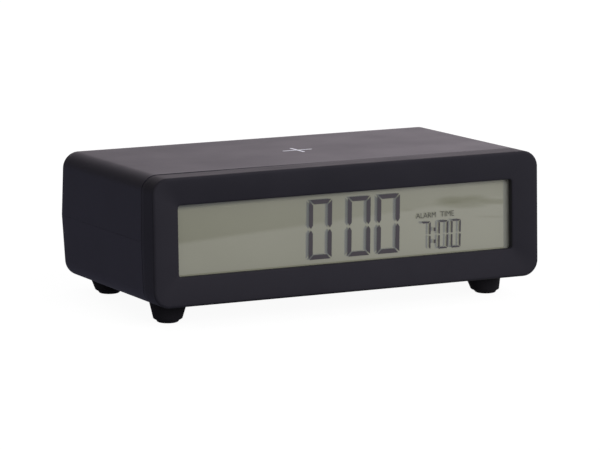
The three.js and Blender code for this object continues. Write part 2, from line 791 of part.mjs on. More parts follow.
// Tapered contact spring along x
function contactSpring(start) {
  const steps = springSteps * springCoils;
  const length = springLength - 2 * springWire;
  const points = Array.from({ length: steps + 1 }, (_, k) => {
    const share = k / steps;
    const angle = share * springCoils * 2 * Math.PI;
    const radius = springFootRadius + (springTipRadius - springFootRadius) * share;
    const [across, up] = [radius * Math.cos(angle), radius * Math.sin(angle)];
    return [start + springWire + length * share, cellDepth + across, up];
  });
  const curve = new THREE.CatmullRomCurve3(points.map((p) => new THREE.Vector3(...p)));
  const section = new THREE.Shape();
  for (let k = 0; k < springSides; k += 1) {
    const angle = k * 2 * Math.PI / springSides;
    section[k ? 'lineTo' : 'moveTo'](springWire * Math.cos(angle), springWire * Math.sin(angle));
  }
  return new THREE.ExtrudeGeometry(section, { steps, extrudePath: curve });
}

// Housing and front
add('front_frame', frontFrame(), frameGrey);
add('upper_shell', upperShell(), anthracite);
add('lower_shell', lowerShell(), anthracite);
add('touch_mark', markShape(0, bodyHeight - markDepth, bodyHeight), markPale);
for (const [name, [side, y]] of Object.entries(feet)) add(name, foot(side, y), rubber);

// Display
add('lcd_cell', liquidCrystalCell(), displayGlass);
add('display_film', displayFilm(), displayGreen);
add('light_guide', box(-guideHalf, guideHalf, guideFront, guideBack, guideLow, guideHigh), clearPlastic);
add('reflector_sheet', box(-guideHalf, guideHalf, sheetFront, sheetFront + sheetThickness, guideLow,
  guideHigh), whitePlastic);
add('display_holder', displayHolder(), innerPlastic);
add('contact_strip', box(-stripHalf, stripHalf, glassFront + glassThickness + clearance,
  boardFront - clearance, glassLow + clearance, rearGlassLow - 2 * clearance), rubber);
for (const [name, side] of [['edge_light_left', -1], ['edge_light_right', 1]]) {
  const inner = guideHalf + clearance;
  add(name, box(...between(side * inner, side * (inner + ledWidth)), guideFront, boardFront - clearance,
    middle - ledHeight / 2, middle + ledHeight / 2), whitePlastic);
}

// Main board, screwed with the holder to the frame
const board = cut(
  box(-boardHalf, boardHalf, boardFront, boardBack, boardLow, boardHigh),
  ...holderScrews.map(([x, z]) => (
    rodY(smallScrewRadius + clearance, boardFront - bite, boardBack + bite, x, z, smallSides))),
);
add('main_board', board, boardGreen);
holderScrews.forEach(([x, z], k) => {
  add(`holder_screw_${k + 1}`, smallScrew(x, componentSeat, screwTip, z), steel);
});
const chipProfile = Array.from({ length: cornerSteps + 1 }, (_, k) => {
  const angle = k / cornerSteps * Math.PI / 2;
  return new THREE.Vector2(chipRadius * Math.cos(angle), chipFoot + chipRise * Math.sin(angle));
});
chipProfile.unshift(new THREE.Vector2(0, 0), new THREE.Vector2(chipRadius, 0));
chipProfile[chipProfile.length - 1].x = 0;
add('clock_chip', new THREE.LatheGeometry(chipProfile, roundSides)
  .translate(chipPlace, componentSeat, middle), chipBlack);
add('quartz_crystal', rodX(crystalRadius, crystalPlace, crystalPlace + crystalLength,
  componentSeat + crystalRadius, middle + crystalLift), steel);
add('capacitor', rodY(capacitorRadius, componentSeat, componentSeat + capacitorHeight, capacitorPlace,
  middle + capacitorLift), innerPlastic);

// Touch electrode under the mark, with its lead to the main board
const [markX, markY] = markPlace;
const plateTop = bodyHeight - shellWall - clearance;
const plateBottom = plateTop - touchPlateThickness;
add('touch_plate', box(markX - touchPlateSize / 2, markX + touchPlateSize / 2, markY - touchPlateSize / 2,
  markY + touchPlateSize / 2, plateBottom, plateTop), copper);
const touchLeadStart = markY - touchPlateSize / 4;
const touchLeadLow = plateBottom - touchLeadDrop;
add('touch_lead', lead([
  [markX, touchLeadStart, plateBottom - clearance],
  [markX, touchLeadStart, plateBottom - leadStub],
  [markX + leadBend, touchLeadStart - 2 * leadBend, touchLeadLow],
  [markX + leadBend, componentSeat + 2 * leadBend, touchLeadLow],
  [markX + leadBend, componentSeat, touchLeadLow],
], leadRadius), wireBlack);

// Rear keys, their switches and board, and the alarm slide switch
keyNames.forEach((name, k) => {
  const cap = geometryOf(keyCap()).translate(keyPlaces[k], 0, 0);
  add(name, cap, frameGrey, upperBack);
});
add('alarm_switch', geometryOf(switchKnob()).translate(knobStart, 0, 0), rubber, upperBack);
keyPlaces.forEach((x, k) => add(`key_switch_${k + 1}`, join(
  box(x - tactWidth / 2, x + tactWidth / 2, tactTop - tactHeight, tactTop, -tactWidth / 2, tactWidth / 2),
  rodY(plungerRadius, tactTop - bite / 2, plungerTop, x, 0, smallSides),
), chipBlack, upperBack));
const switchBodyTop = stemEnd - clearance;
const stemRoom = knobStemHalf + clearance;
const actuatorHollow = box(knobStart - stemRoom, knobStart + switchTravel + stemRoom,
  switchBodyTop - bite, switchBodyTop + bite, -stemRoom, stemRoom);
add('slide_switch', cut(
  box(switchPlace - switchBodyLength / 2, switchPlace + switchBodyLength / 2, tactTop - tactHeight,
    switchBodyTop, -switchBodyHeight / 2, switchBodyHeight / 2),
  actuatorHollow,
), steel, upperBack);
add('control_board', cut(
  box(controlLeft, controlRight, controlBack, controlFront, -controlBoardHeight / 2, controlBoardHeight / 2),
  ...controlScrews.map((x) => (
    rodY(smallScrewRadius + clearance, controlBack - bite, controlFront + bite, x, 0, smallSides))),
), boardGreen, upperBack);
controlScrews.forEach((x, k) => {
  const screw = smallScrew(x, controlBack - clearance, -shellWall - 2 * clearance, 0);
  add(`board_screw_${k + 1}`, screw, steel, upperBack);
});

// Ribbon cable from the main board to the foot of the control board, sagging between them
const ribbonRear = new THREE.Vector3(0, controlBack - clearance, -controlBoardHeight / 2 + ribbonFoot)
  .applyMatrix4(upperBack.matrix);
const ribbonLine = new THREE.CatmullRomCurve3([
  new THREE.Vector3(componentSeat, middle + ribbonLift, 0),
  new THREE.Vector3(componentSeat + leadBend, middle + ribbonLift - ribbonSag / 4, 0),
  new THREE.Vector3(bodyDepth / 2, middle + ribbonLift - ribbonSag, 0),
  new THREE.Vector3(ribbonRear.y - leadBend, ribbonRear.z - ribbonSag / 4, 0),
  new THREE.Vector3(ribbonRear.y, ribbonRear.z, 0),
], false, 'centripetal').getPoints(ribbonSteps);
const ribbonSide = (sign) => ribbonLine.map((point, k) => {
  const before = ribbonLine[Math.max(k - 1, 0)];
  const after = ribbonLine[Math.min(k + 1, ribbonLine.length - 1)];
  const along = after.clone().sub(before).normalize();
  const offset = sign * ribbonThickness / 2;
  return [point.x - along.y * offset, point.y + along.x * offset];
});
add('ribbon_cable', barX([...ribbonSide(1), ...ribbonSide(-1).reverse()], ribbonPlace - ribbonWidth / 2,
  ribbonPlace + ribbonWidth / 2), ribbonGrey);

// Battery bay: tray, cells in line, contacts, door
const bayStart = -bayHalf;
const leftContact = bayStart + clearance;
const springStart = leftContact + contactThickness + clearance;
const firstCell = springStart + springLength + clearance;
const secondCell = firstCell + cellLength + clearance;
const rightContact = bayHalf - clearance - contactThickness;
add('battery_tray', cut(
  box(-bayHalf - trayWall, bayHalf + trayWall, trayBack, trayFront, -trayHalf - trayWall,
    trayHalf + trayWall),
  box(-bayHalf, bayHalf, trayDepth, trayFront + bite, -trayHalf, trayHalf),
), innerPlastic, lowerBack);
add('battery_left', cell(firstCell), cellWrap, lowerBack);
add('battery_right', cell(secondCell), cellWrap, lowerBack);
add('battery_spring', contactSpring(springStart), steel, lowerBack);
for (const [name, x] of [['spring_contact_plate', leftContact], ['flat_contact_plate', rightContact]]) {
  add(name, box(x, x + contactThickness, trayDepth + clearance, trayFront - clearance, -contactHalf,
    contactHalf), steel, lowerBack);
}
add('battery_door', batteryDoor(), anthracite, lowerBack);

// Battery and sounder leads to the main board
const trayEnd = new THREE.Vector3(0, trayBack - clearance, 0).applyMatrix4(lowerBack.matrix);
const restLow = shellWall + leadRadius + leadRest;
[['battery_lead_red', wireRed], ['battery_lead_black', wireBlack]].forEach(([name, material], k) => {
  const x = bayHalf - batteryLeadInsets[k];
  add(name, lead([
    [x, trayEnd.y, trayEnd.z],
    [x, trayEnd.y - leadBend, trayEnd.z - leadRest],
    [x, bodyDepth / 2 + leadBend, restLow],
    [x, bodyDepth / 3, restLow],
    [x, componentSeat + leadBend, bayHeight - leadRest],
    [x, componentSeat, bayHeight],
  ], leadRadius), material);
});
const [soundX, soundY] = sounderPlace;
const sounderLow = shellWall + clearance;
const sounderTop = sounderLow + sounderHeight;
add('sounder', cut(
  post(sounderRadius, sounderLow, sounderTop, soundX, soundY),
  post(sounderPort, sounderLow - bite, sounderLow + bite, soundX, soundY, smallSides),
), chipBlack);
add('sounder_lead', lead([
  [soundX, soundY, sounderTop + clearance],
  [soundX, soundY, sounderTop + leadStub],
  [soundX, soundY - leadBend, sounderTop + leadStub + leadRest],
  [soundX, componentSeat + 2 * leadBend, sounderTop + leadStub + leadRest],
  [soundX, componentSeat + leadBend, bayHeight],
  [soundX, componentSeat, bayHeight],
], leadRadius), wireBlack);

// Case screws from below
caseScrews.forEach(([x, y], k) => {
  const seat = screwWellDepth - clearance;
  add(`case_screw_${k + 1}`, join(
    post(screwHeadRadius, seat - screwHeadHeight, seat, x, y, smallSides),
    post(screwRadius, seat - screwHeadHeight / 2, screwTop, x, y, smallSides),
  ), steel);
});

// Lean the clock back onto its feet and centre it over the surface
clock.rotation.x = -leanAngle;
clock.updateMatrixWorld(true);
const bounds = new THREE.Box3().setFromObject(clock, true);
const centre = bounds.getCenter(new THREE.Vector3());
clock.position.set(-centre.x, -centre.y, -bounds.min.z);

const digitalAlarmClock = new THREE.Group();
digitalAlarmClock.add(clock);
digitalAlarmClock.updateMatrixWorld(true);

export default digitalAlarmClock;
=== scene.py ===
# %% [markdown]
# # A desk alarm clock, dressed over its engineering model
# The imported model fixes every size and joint. This lesson puts a finished skin over it: smooth mouldings,
# a liquid crystal display with its digits, rubber feet, rear keys and a battery door that still moves.
# Blender works in metres; the clock's own drawing is in millimetres, upright, before it leans on its feet.

from math import atan, cos, pi, radians, sin

import bmesh
import bpy
import numpy as np
from mathutils import Matrix, Vector


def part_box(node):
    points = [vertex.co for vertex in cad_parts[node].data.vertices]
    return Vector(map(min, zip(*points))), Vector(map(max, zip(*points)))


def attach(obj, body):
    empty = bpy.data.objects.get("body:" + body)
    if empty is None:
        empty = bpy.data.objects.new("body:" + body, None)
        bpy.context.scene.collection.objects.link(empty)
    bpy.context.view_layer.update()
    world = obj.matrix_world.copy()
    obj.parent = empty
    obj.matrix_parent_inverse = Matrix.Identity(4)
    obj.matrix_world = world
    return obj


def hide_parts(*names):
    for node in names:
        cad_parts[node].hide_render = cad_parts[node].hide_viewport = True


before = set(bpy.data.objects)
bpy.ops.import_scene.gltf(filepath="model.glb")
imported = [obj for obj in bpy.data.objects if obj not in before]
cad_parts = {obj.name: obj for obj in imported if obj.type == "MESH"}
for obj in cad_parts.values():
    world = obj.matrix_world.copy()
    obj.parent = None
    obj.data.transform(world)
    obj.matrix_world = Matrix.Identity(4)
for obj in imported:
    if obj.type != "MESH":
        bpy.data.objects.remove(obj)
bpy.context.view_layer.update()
print("nodes:", len(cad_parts))

# %% [markdown]
# ## From the drawing to the shelf
# The clock leans back because its front feet are taller than its rear feet. One turn and one shift take any
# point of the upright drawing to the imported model's frame. The touch plate under the lid has a known place
# in both, which gives the shift.

# %% Lean the drawing onto its feet
FOOT_HEIGHTS = (8.62, 6.07)
FOOT_PLACES = (21.45, 83.25)
FOOT_SLOPE = (FOOT_HEIGHTS[0] - FOOT_HEIGHTS[1]) / (FOOT_PLACES[1] - FOOT_PLACES[0])
LEAN = atan(FOOT_SLOPE)
TOUCH_PLATE_CENTRE = np.array([0.9, 51.2, 48.35])
lean_turn = np.array([[1, 0, 0], [0, cos(LEAN), sin(LEAN)], [0, -sin(LEAN), cos(LEAN)]])
plate_low, plate_high = (np.array(corner) * 1000 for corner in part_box("touch_plate"))
shift = (plate_low + plate_high) / 2 - lean_turn @ TOUCH_PLATE_CENTRE


def to_shelf(points):
    """Points of the upright drawing in millimetres, turned by the lean, shifted and given in metres."""
    return (np.asarray(points, float) @ lean_turn.T + shift) / 1000


print("lean in degrees:", round(LEAN * 180 / pi, 3), " shift in mm:", shift.round(3))

# %% [markdown]
# ## The camera
# A product photograph is taken from far away with a long lens, so that edges stay nearly parallel. The
# camera stands left of the clock and a little above it. A yaw, a pitch and a small roll give its axes.

# %% Place the camera
EYE = (-612.4, -1275.1, 238.0)
YAW, PITCH, ROLL = radians(24.841), radians(8.472), radians(-0.847)
FOCAL_PIXELS, PICTURE_WIDTH = 3607.8, 600
SENSOR_WIDTH, FAR_CLIP = 36, 20


def add_object(name, data):
    """A new object with its data, linked to the scene's collection."""
    made = bpy.data.objects.new(name, data)
    bpy.context.collection.objects.link(made)
    return made


ahead = np.array([sin(YAW) * cos(PITCH), cos(YAW) * cos(PITCH), -sin(PITCH)])
level_right = np.array([cos(YAW), -sin(YAW), 0])
level_up = np.cross(level_right, ahead)
right = cos(ROLL) * level_right + sin(ROLL) * level_up
up = cos(ROLL) * level_up - sin(ROLL) * level_right
camera = add_object("camera", bpy.data.cameras.new("camera"))
camera.data.sensor_width = SENSOR_WIDTH
camera.data.lens = FOCAL_PIXELS * SENSOR_WIDTH / PICTURE_WIDTH
camera.data.clip_end = FAR_CLIP
camera_place = Matrix((lean_turn @ np.column_stack([right, up, -ahead])).tolist()).to_4x4()
camera_place.translation = to_shelf(EYE)
camera.matrix_world = camera_place
bpy.context.scene.camera = camera
print("lens in mm:", round(camera.data.lens, 2))

# %% [markdown]
# ## Putting worked-out surfaces into Blender
# Each new piece starts as a grid of points: rows along one direction, columns along the other. A loft is
# such a grid whose rows are closed rings, with one flat face over each end. The points go into a mesh in
# one step, doubled points are merged and the faces are turned outwards.

# %% Helpers for grids, lofts and meshes
WELD = 1e-6


def grid_faces(rows, columns, first=0, round_columns=False, round_rows=False):
    """Corner numbers of a grid's faces: point, next in its row, the same two one row on."""
    row, column = np.meshgrid(np.arange(rows if round_rows else rows - 1),
                              np.arange(columns if round_columns else columns - 1), indexing="ij")
    on, beside = (row + 1) % rows, (column + 1) % columns
    corners = [row * columns + column, row * columns + beside, on * columns + beside, on * columns + column]
    return (np.stack(corners, -1).reshape(-1, 4) + first).tolist()


def loft(rings):
    """Closed skin over rings of equal length, given as rows of points; a flat face closes each end."""
    rings = np.asarray(rings, float)
    count, size = rings.shape[:2]
    ends = [list(range(size))[::-1], list(range((count - 1) * size, count * size))]
    return rings.reshape(-1, 3), grid_faces(count, size, round_columns=True) + ends


def looped(rings):
    """Closed skin over rings whose last one joins the first again, as on a tyre."""
    rings = np.asarray(rings, float)
    return rings.reshape(-1, 3), grid_faces(*rings.shape[:2], round_columns=True, round_rows=True)


def put_together(*shapes):
    """Several shapes, each points and faces, as one list of points and one of faces."""
    points, faces, first = [], [], 0
    for shape_points, shape_faces in shapes:
        points.append(shape_points)
        faces += [[first + corner for corner in face] for face in shape_faces]
        first += len(shape_points)
    return np.vstack(points), faces


def add_mesh(name, points, faces):
    """An object whose mesh holds points in metres and faces, just as they are given."""
    mesh = bpy.data.meshes.new(name)
    mesh.from_pydata(np.asarray(points).tolist(), [], faces)
    return add_object(name, mesh)


def mesh_object(name, points, faces):
    """An object whose mesh holds the drawing's points on the shelf, doubles merged, faces outwards."""
    piece = add_mesh(name, to_shelf(points), faces)
    work = bmesh.new()
    work.from_mesh(piece.data)
    bmesh.ops.remove_doubles(work, verts=work.verts, dist=WELD)
    bmesh.ops.recalc_face_normals(work, faces=work.faces)
    work.to_mesh(piece.data)
    work.free()
    return piece


def settle(piece):
    """Works out the piece's modifiers and keeps the result as its mesh."""
    graph = bpy.context.evaluated_depsgraph_get()
    result = bpy.data.meshes.new_from_object(piece.evaluated_get(graph))
    piece.modifiers.clear()
    piece.data = result


def carve(piece, *shapes):
    """Takes closed shapes out of a piece with a Boolean each, then keeps the result."""
    cutters = [mesh_object("cutter", *shape) for shape in shapes]
    for cutter in cutters:
        cut = piece.modifiers.new("carve", "BOOLEAN")
        cut.operation, cut.solver, cut.object = "DIFFERENCE", "EXACT", cutter
    settle(piece)
    for cutter in cutters:
        bpy.data.objects.remove(cutter)


def soften(piece, width, segments=2, angle=40):
    """Rounds the edges that turn by more than the angle; width is in millimetres."""
    bevel = piece.modifiers.new("soften", "BEVEL")
    bevel.width, bevel.segments, bevel.angle_limit = width / 1000, segments, radians(angle)
    settle(piece)


def hand_over(piece, material, slot, body="root", stands_for=(), sharp=35):
    """Gives a piece its finish and its smooth shading, hangs it on its CAD body's empty, and hides the nodes
    that it stands for.
    """
    piece.data.materials.clear()
    piece.data.materials.append(material)
    piece.data.shade_smooth()
    piece.data.set_sharp_from_angle(angle=radians(sharp))
    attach(piece, body)
    if stands_for:
        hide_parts(*stands_for)
    print(piece.name, "faces:", len(piece.data.polygons))


def finished(name, shape, material, slot, **ties):
    """A piece made from one shape of the drawing and handed over at once."""
    piece = mesh_object(name, *shape)
    hand_over(piece, material, slot, **ties)
    return piece


# %% [markdown]
# ## Finishes that several parts share
# Moulded plastic isn't perfectly smooth: the steel mould was spark-eroded, which leaves a fine grain, and
# the plastic shrinks a little unevenly. A node group holds that pattern once, and each material places it
# with its own scale. Colours are written as they look on a screen and turned into linear light.

# %% Helpers for colours and nodes
FLOAT, VECTOR, COLOUR = "NodeSocketFloat", "NodeSocketVector", "NodeSocketColor"


def screen_colour(red, green, blue):
    """A screen colour from 0 to 255 as linear light: the sRGB curve, solved for light."""
    share = np.array([red, green, blue]) / 255
    light = np.where(share <= 0.04045, share / 12.92, ((share + 0.055) / 1.055) ** 2.4)
    return (*light.tolist(), 1)


def add_node(tree, kind, inputs=None, **settings):
    """A node with its settings; an input is a value, or another node's output that gets linked."""
    made = tree.nodes.new(kind)
    for key, value in settings.items():
        setattr(made, key, value)
    for key, value in (inputs or {}).items():
        if isinstance(value, bpy.types.NodeSocket):
            tree.links.new(value, made.inputs[key])
        else:
            made.inputs[key].default_value = value
    return made


def rise(tree, value, start, end, low=0.0, high=1.0, **settings):
    """A number that goes in a straight line from low, where value is start, to high, where it is end."""
    return add_node(tree, "ShaderNodeMapRange", {
        "Value": value, "From Min": start, "From Max": end, "To Min": low, "To Max": high},
        **settings).outputs["Result"]


def mix(tree, factor, a, b, kind="FLOAT"):
    """A blend: a times one less the factor, plus b times the factor."""
    blend = add_node(tree, "ShaderNodeMix", {"Factor": factor, "A": a, "B": b}, data_type=kind)
    return blend.outputs["Result"]


def reckon(tree, operation, a, b):
    """One step of arithmetic on two numbers."""
    return add_node(tree, "ShaderNodeMath", {0: a, 1: b}, operation=operation).outputs["Value"]


def dot(tree, a, b):
    """The dot product of two vectors: how far the first one goes along the second."""
    return add_node(tree, "ShaderNodeVectorMath", {0: a, 1: b}, operation="DOT_PRODUCT").outputs["Value"]


def use_group(tree, group, inputs):
    """A shared node group placed in a tree with its own values; gives its outputs."""
    return add_node(tree, "ShaderNodeGroup", inputs, node_tree=group).outputs


def new_group(name, inputs, outputs):
    """An empty shader node group with named sockets, the sockets of what it is given, and of its results."""
    group = bpy.data.node_groups.new(name, "ShaderNodeTree")
    for direction, sockets in (("INPUT", inputs), ("OUTPUT", outputs)):
        for socket, kind, *value in sockets:
            made = group.interface.new_socket(socket, in_out=direction, socket_type=kind)
            if value:
                made.default_value = value[0]
    return group, add_node(group, "NodeGroupInput").outputs, add_node(group, "NodeGroupOutput").inputs


# %% Node group: grain of a moulded surface
mould_grain, given, results = new_group(
    "mould_grain",
    [("Place", VECTOR), ("Grain", FLOAT, 2600.0), ("Swirl", FLOAT, 45.0)],
    [("Height", FLOAT), ("Tone", FLOAT)],
)
for scale, detail, result in (("Grain", 3.0, "Height"), ("Swirl", 5.0, "Tone")):
    noise = add_node(mould_grain, "ShaderNodeTexNoise",
                     {"Vector": given["Place"], "Scale": given[scale], "Detail": detail})
    mould_grain.links.new(noise.outputs["Fac"], results[result])

# %% Node groups: a colour and a roughness that drift with the pattern
COLOUR_SPAN, GLOSS_SPAN = (0.35, 0.65), (0.3, 0.7)
shade_drift, given, results = new_group(
    "shade_drift",
    [("Shade", COLOUR, (0.5, 0.5, 0.5, 1)), ("Lighter", COLOUR, (0.6, 0.6, 0.6, 1)), ("Mask", FLOAT, 0.5)],
    [("Colour", COLOUR)],
)
share = rise(shade_drift, given["Mask"], *COLOUR_SPAN)
drifted = mix(shade_drift, share, given["Shade"], given["Lighter"], "RGBA")
shade_drift.links.new(drifted, results["Colour"])

gloss_drift, given, results = new_group(
    "gloss_drift",
    [("Mask", FLOAT, 0.5), ("Least", FLOAT, 0.4), ("Most", FLOAT, 0.5)],
    [("Roughness", FLOAT)],
)
drifted = rise(gloss_drift, given["Mask"], *GLOSS_SPAN, given["Least"], given["Most"])
gloss_drift.links.new(drifted, results["Roughness"])

# %% Node group: a soft spot on a flat surface
soft_spot, given, results = new_group(
    "soft_spot",
    [("Place", VECTOR), ("Centre", VECTOR), ("Along", VECTOR), ("Across", VECTOR)],
    [("Mask", FLOAT)],
)
apart = add_node(soft_spot, "ShaderNodeVectorMath", {0: given["Place"], 1: given["Centre"]},
                 operation="SUBTRACT").outputs["Vector"]
shares = [dot(soft_spot, apart, given[direction]) for direction in ("Along", "Across")]
reach = reckon(soft_spot, "ADD", *[reckon(soft_spot, "MULTIPLY", share, share) for share in shares])
fade = rise(soft_spot, reach, 0.0, 1.0, 1.0, 0.0, interpolation_type="SMOOTHSTEP")
soft_spot.links.new(fade, results["Mask"])
print("node groups:", ", ".join(group.name for group in bpy.data.node_groups))

# %% [markdown]
# ## Moulded plastic, rubber and metal
# One function builds every opaque finish from the groups. The Principled shader stays in the material, and
# a number that is the same everywhere, such as the strength of the sheen, is set on the shader's own
# socket. Only the colour, the roughness and the bump change over the surface.

# %% A finish from the groups


def new_material(name, **sockets):
    """A material with a Principled shader, and the shader's values that are the same everywhere."""
    material = bpy.data.materials.new(name)
    material.use_nodes = True
    shader = material.node_tree.nodes["Principled BSDF"]
    for socket, value in sockets.items():
        shader.inputs[socket.replace("_", " ")].default_value = value
    return material, material.node_tree, shader


def grained(name, shade, lighter, gloss=None, grain=2600.0, swirl=45.0, relief=0.02, **sockets):
    """Opaque finish: colour drifts between two shades, roughness between two values, grain as bump."""
    material, tree, shader = new_material(name, **sockets)
    place = add_node(tree, "ShaderNodeTexCoord").outputs["Object"]
    pattern = use_group(tree, mould_grain, {"Place": place, "Grain": grain, "Swirl": swirl})
    colour = use_group(tree, shade_drift, {"Shade": screen_colour(*shade), "Lighter": screen_colour(*lighter),
                                           "Mask": pattern["Tone"]})
    tree.links.new(colour["Colour"], shader.inputs["Base Color"])
    if gloss:
        rough = use_group(tree, gloss_drift, {"Mask": pattern["Tone"], "Least": gloss[0], "Most": gloss[1]})
        tree.links.new(rough["Roughness"], shader.inputs["Roughness"])
    if relief:
        bump = add_node(tree, "ShaderNodeBump", {"Distance": relief / 1000, "Strength": 1.0,
                                                 "Height": pattern["Height"]})
        tree.links.new(bump.outputs["Normal"], shader.inputs["Normal"])
    return material


# %% The clock's own finishes
housing_plastic = grained("housing_plastic", (38, 37, 46), (41, 40, 49), (0.42, 0.47), relief=0.012,
                          Specular_IOR_Level=0.3)
frame_plastic = grained("frame_plastic", (36, 35, 42), (39, 38, 45), (0.50, 0.55), relief=0.008,
                        Specular_IOR_Level=0.215)
key_plastic = grained("key_plastic", (46, 45, 50), (50, 49, 54), (0.45, 0.52), relief=0.010)
slider_rubber = grained("slider_rubber", (24, 24, 26), (30, 30, 32), (0.6, 0.7), relief=0.015)
foot_rubber = grained("foot_rubber", (33, 32, 36), (36, 35, 39), (0.6, 0.7), relief=0.015,
                      Specular_IOR_Level=0.1)
lettering_white = grained("lettering_white", (172, 170, 176), (180, 178, 184), (0.4, 0.5), relief=0.004)
mark_silver = grained("mark_silver", (230, 232, 243), (236, 238, 248), (0.35, 0.45), relief=0.003)
screw_steel = grained("screw_steel", (150, 151, 155), (178, 179, 183), (0.25, 0.4), grain=5000.0,
                      relief=0.004, Metallic=1.0)
print("finishes:", len(bpy.data.materials))

# %% [markdown]
# ## The two half shells
# The housing is a box with rounded edges, split a little under its middle. Its sides are widest at that
# parting line, because each half has to leave its mould. One function of two parameters draws a half:
# along an outline from the parting line up the right side, round the corner and across the top, and along
# the depth, ending in a small round towards the back wall. The inner wall is the same surface drawn in.

# %% Outline of a half shell
WIDTH, HEIGHT, DEPTH = 170, 51.3, 97.9
SIDE_DRAFT, BACK_DRAFT, BACK_ROUND = 0.42, 1.95, 1.25
CORNER, WALL = 6.6, 2.4
SEAM, SEAM_GAP, SEAM_CLOSE = 11.56, 0.3, 0.02
PARTING, PARTING_GAP = 25.25, 0.02
HALF_WIDTH = WIDTH / 2 - SIDE_DRAFT
SIDE_STEPS, CORNER_STEPS, TOP_STEPS = 6, 14, 48


def half_outline(inset, parting):
    """Upper half outline as x and z: up the right side, a quarter circle, across, and down the left."""
    straight_top = HEIGHT - CORNER
    side_z = np.linspace(parting + PARTING_GAP / 2, straight_top, SIDE_STEPS, endpoint=False)
    side_x = HALF_WIDTH - inset + SIDE_DRAFT * (straight_top - side_z) / (straight_top - parting)
    angle = np.linspace(0, pi / 2, CORNER_STEPS, endpoint=False)
    rise_x = np.concatenate([side_x, HALF_WIDTH - CORNER + (CORNER - inset) * np.cos(angle)])
    rise_z = np.concatenate([side_z, straight_top + (CORNER - inset) * np.sin(angle)])
    top_x = np.linspace(HALF_WIDTH - CORNER, CORNER - HALF_WIDTH, TOP_STEPS + 1)
    top_z = np.full(TOP_STEPS + 1, HEIGHT - inset)
    return np.concatenate([rise_x, top_x, -rise_x[::-1]]), np.concatenate([rise_z, top_z, rise_z[::-1]])


def back_at(z, parting=PARTING):
    """Depth of the back wall at a height: deepest at the parting line, drawn in towards top and bottom."""
    share = np.where(z > parting, (z - parting) / (HEIGHT - parting), (parting - z) / parting)
    return DEPTH - BACK_DRAFT * share


print("outline points of a half:", len(half_outline(0, PARTING)[0]))

# %% Skin of a half shell
STRAIGHT_STEPS, ROUND_STEPS = 16, 8
INNER_ROUND, RIM_SOFT = 0.01, 0.07


def half_skin(inset, rounding, parting):
    """Two grids: the wall from the seam to the back, and the back wall between its left and right points."""
    front = SEAM + SEAM_GAP / 2
    rows = []
    x, z = half_outline(inset, parting)
    for share in np.linspace(0, 1, STRAIGHT_STEPS, endpoint=False):
        rows.append(np.stack([x, front + share * (back_at(z, parting) - inset - rounding - front), z], 1))
    for angle in np.linspace(0, pi / 2, ROUND_STEPS + 1):
        x, z = half_outline(inset + rounding * (1 - cos(angle)), parting)
        rows.append(np.stack([x, back_at(z, parting) - inset - rounding * (1 - sin(angle)), z], 1))
    up_side = SIDE_STEPS + CORNER_STEPS
    right_edge, left_edge = rows[-1][:up_side], rows[-1][::-1][:up_side]
    share = np.linspace(0, 1, TOP_STEPS + 1)[None, :, None]
    back = right_edge[:, None] * (1 - share) + left_edge[:, None] * share
    return np.array(rows), np.concatenate([back, rows[-1][up_side:up_side + TOP_STEPS + 1][None]])


def edge_strip(edge, first_outer, first_inner):
    """Faces that close the gap between the same edge of an outer and an inner skin."""
    outer, inner = edge + first_outer, edge + first_inner
    return np.stack([outer[:-1], outer[1:], inner[1:], inner[:-1]], 1).tolist()


def half_shell(parting):
    """Outer skin, inner skin and the rim between them, for the half above a parting line."""
    grids = [*half_skin(0, BACK_ROUND, parting), *half_skin(WALL, INNER_ROUND, parting)]
    firsts = np.cumsum([0] + [grid.shape[0] * grid.shape[1] for grid in grids])
    faces = []
    for grid, first in zip(grids, firsts):
        faces += grid_faces(*grid.shape[:2], first)
    rows, columns = grids[0].shape[:2]
    for edge in (np.arange(columns), np.arange(rows) * columns, np.arange(rows) * columns + columns - 1):
        faces += edge_strip(edge, firsts[0], firsts[2])
    faces += edge_strip(np.arange(TOP_STEPS + 1), firsts[1], firsts[3])
    return np.vstack([grid.reshape(-1, 3) for grid in grids]), faces


upper = mesh_object("upper_housing", *half_shell(PARTING))
shell_points, shell_faces = half_shell(HEIGHT - PARTING)
lower = mesh_object("lower_housing", shell_points * (1, 1, -1) + (0, 0, HEIGHT), shell_faces)
for half in (upper, lower):
    soften(half, RIM_SOFT)
print("shell faces before carving:", len(upper.data.polygons))

# %% [markdown]
# ## Openings in the shells
# The back wall slopes, so the keys, the switch and the battery door are drawn in a small frame of their
# own on the wall: x to the side, y out of the wall, z up along it. Holes are lofts of circles or rounded
# rectangles whose last rings flare, which leaves a fine broken edge round each hole.

# %% Frames and rings on the back wall
KEY_HEIGHT, BAY_HEIGHT = 39, 12.95
BACK_ANGLE = atan(BACK_DRAFT / PARTING)


def on_wall(points, height):
    """Points of a wall frame in the drawing: the frame turns with the wall above or below the middle."""
    turn = BACK_ANGLE if height > PARTING else -BACK_ANGLE
    x, y, z = np.moveaxis(np.asarray(points, float), -1, 0)
    out_y = back_at(height) + y * cos(turn) - z * sin(turn)
    return np.stack([x, out_y, height + y * sin(turn) + z * cos(turn)], -1)


def wall_loft(rings, height):
    """A loft whose rings are given in a wall frame."""
    points, faces = loft(rings)
    return on_wall(points, height), faces


def at_depth(flat, y):
    """Points given as two numbers, across and up, at one depth."""
    return np.column_stack([flat[:, 0], np.full(len(flat), y), flat[:, 1]])


def at_height(flat, z):
    """Points given as two numbers, across and back, at one height."""
    return np.column_stack([flat, np.full(len(flat), z)])


def arc(radius, centre, angle):
    """Points at angles counted from the right: the centre plus the radius times cosine and sine."""
    return centre + radius * np.stack([np.cos(angle), np.sin(angle)], 1)


def circle(radius, centre=(0, 0), sides=48):
    """An arc all the way round, with so many sides."""
    return arc(radius, centre, np.arange(sides) * 2 * pi / sides)


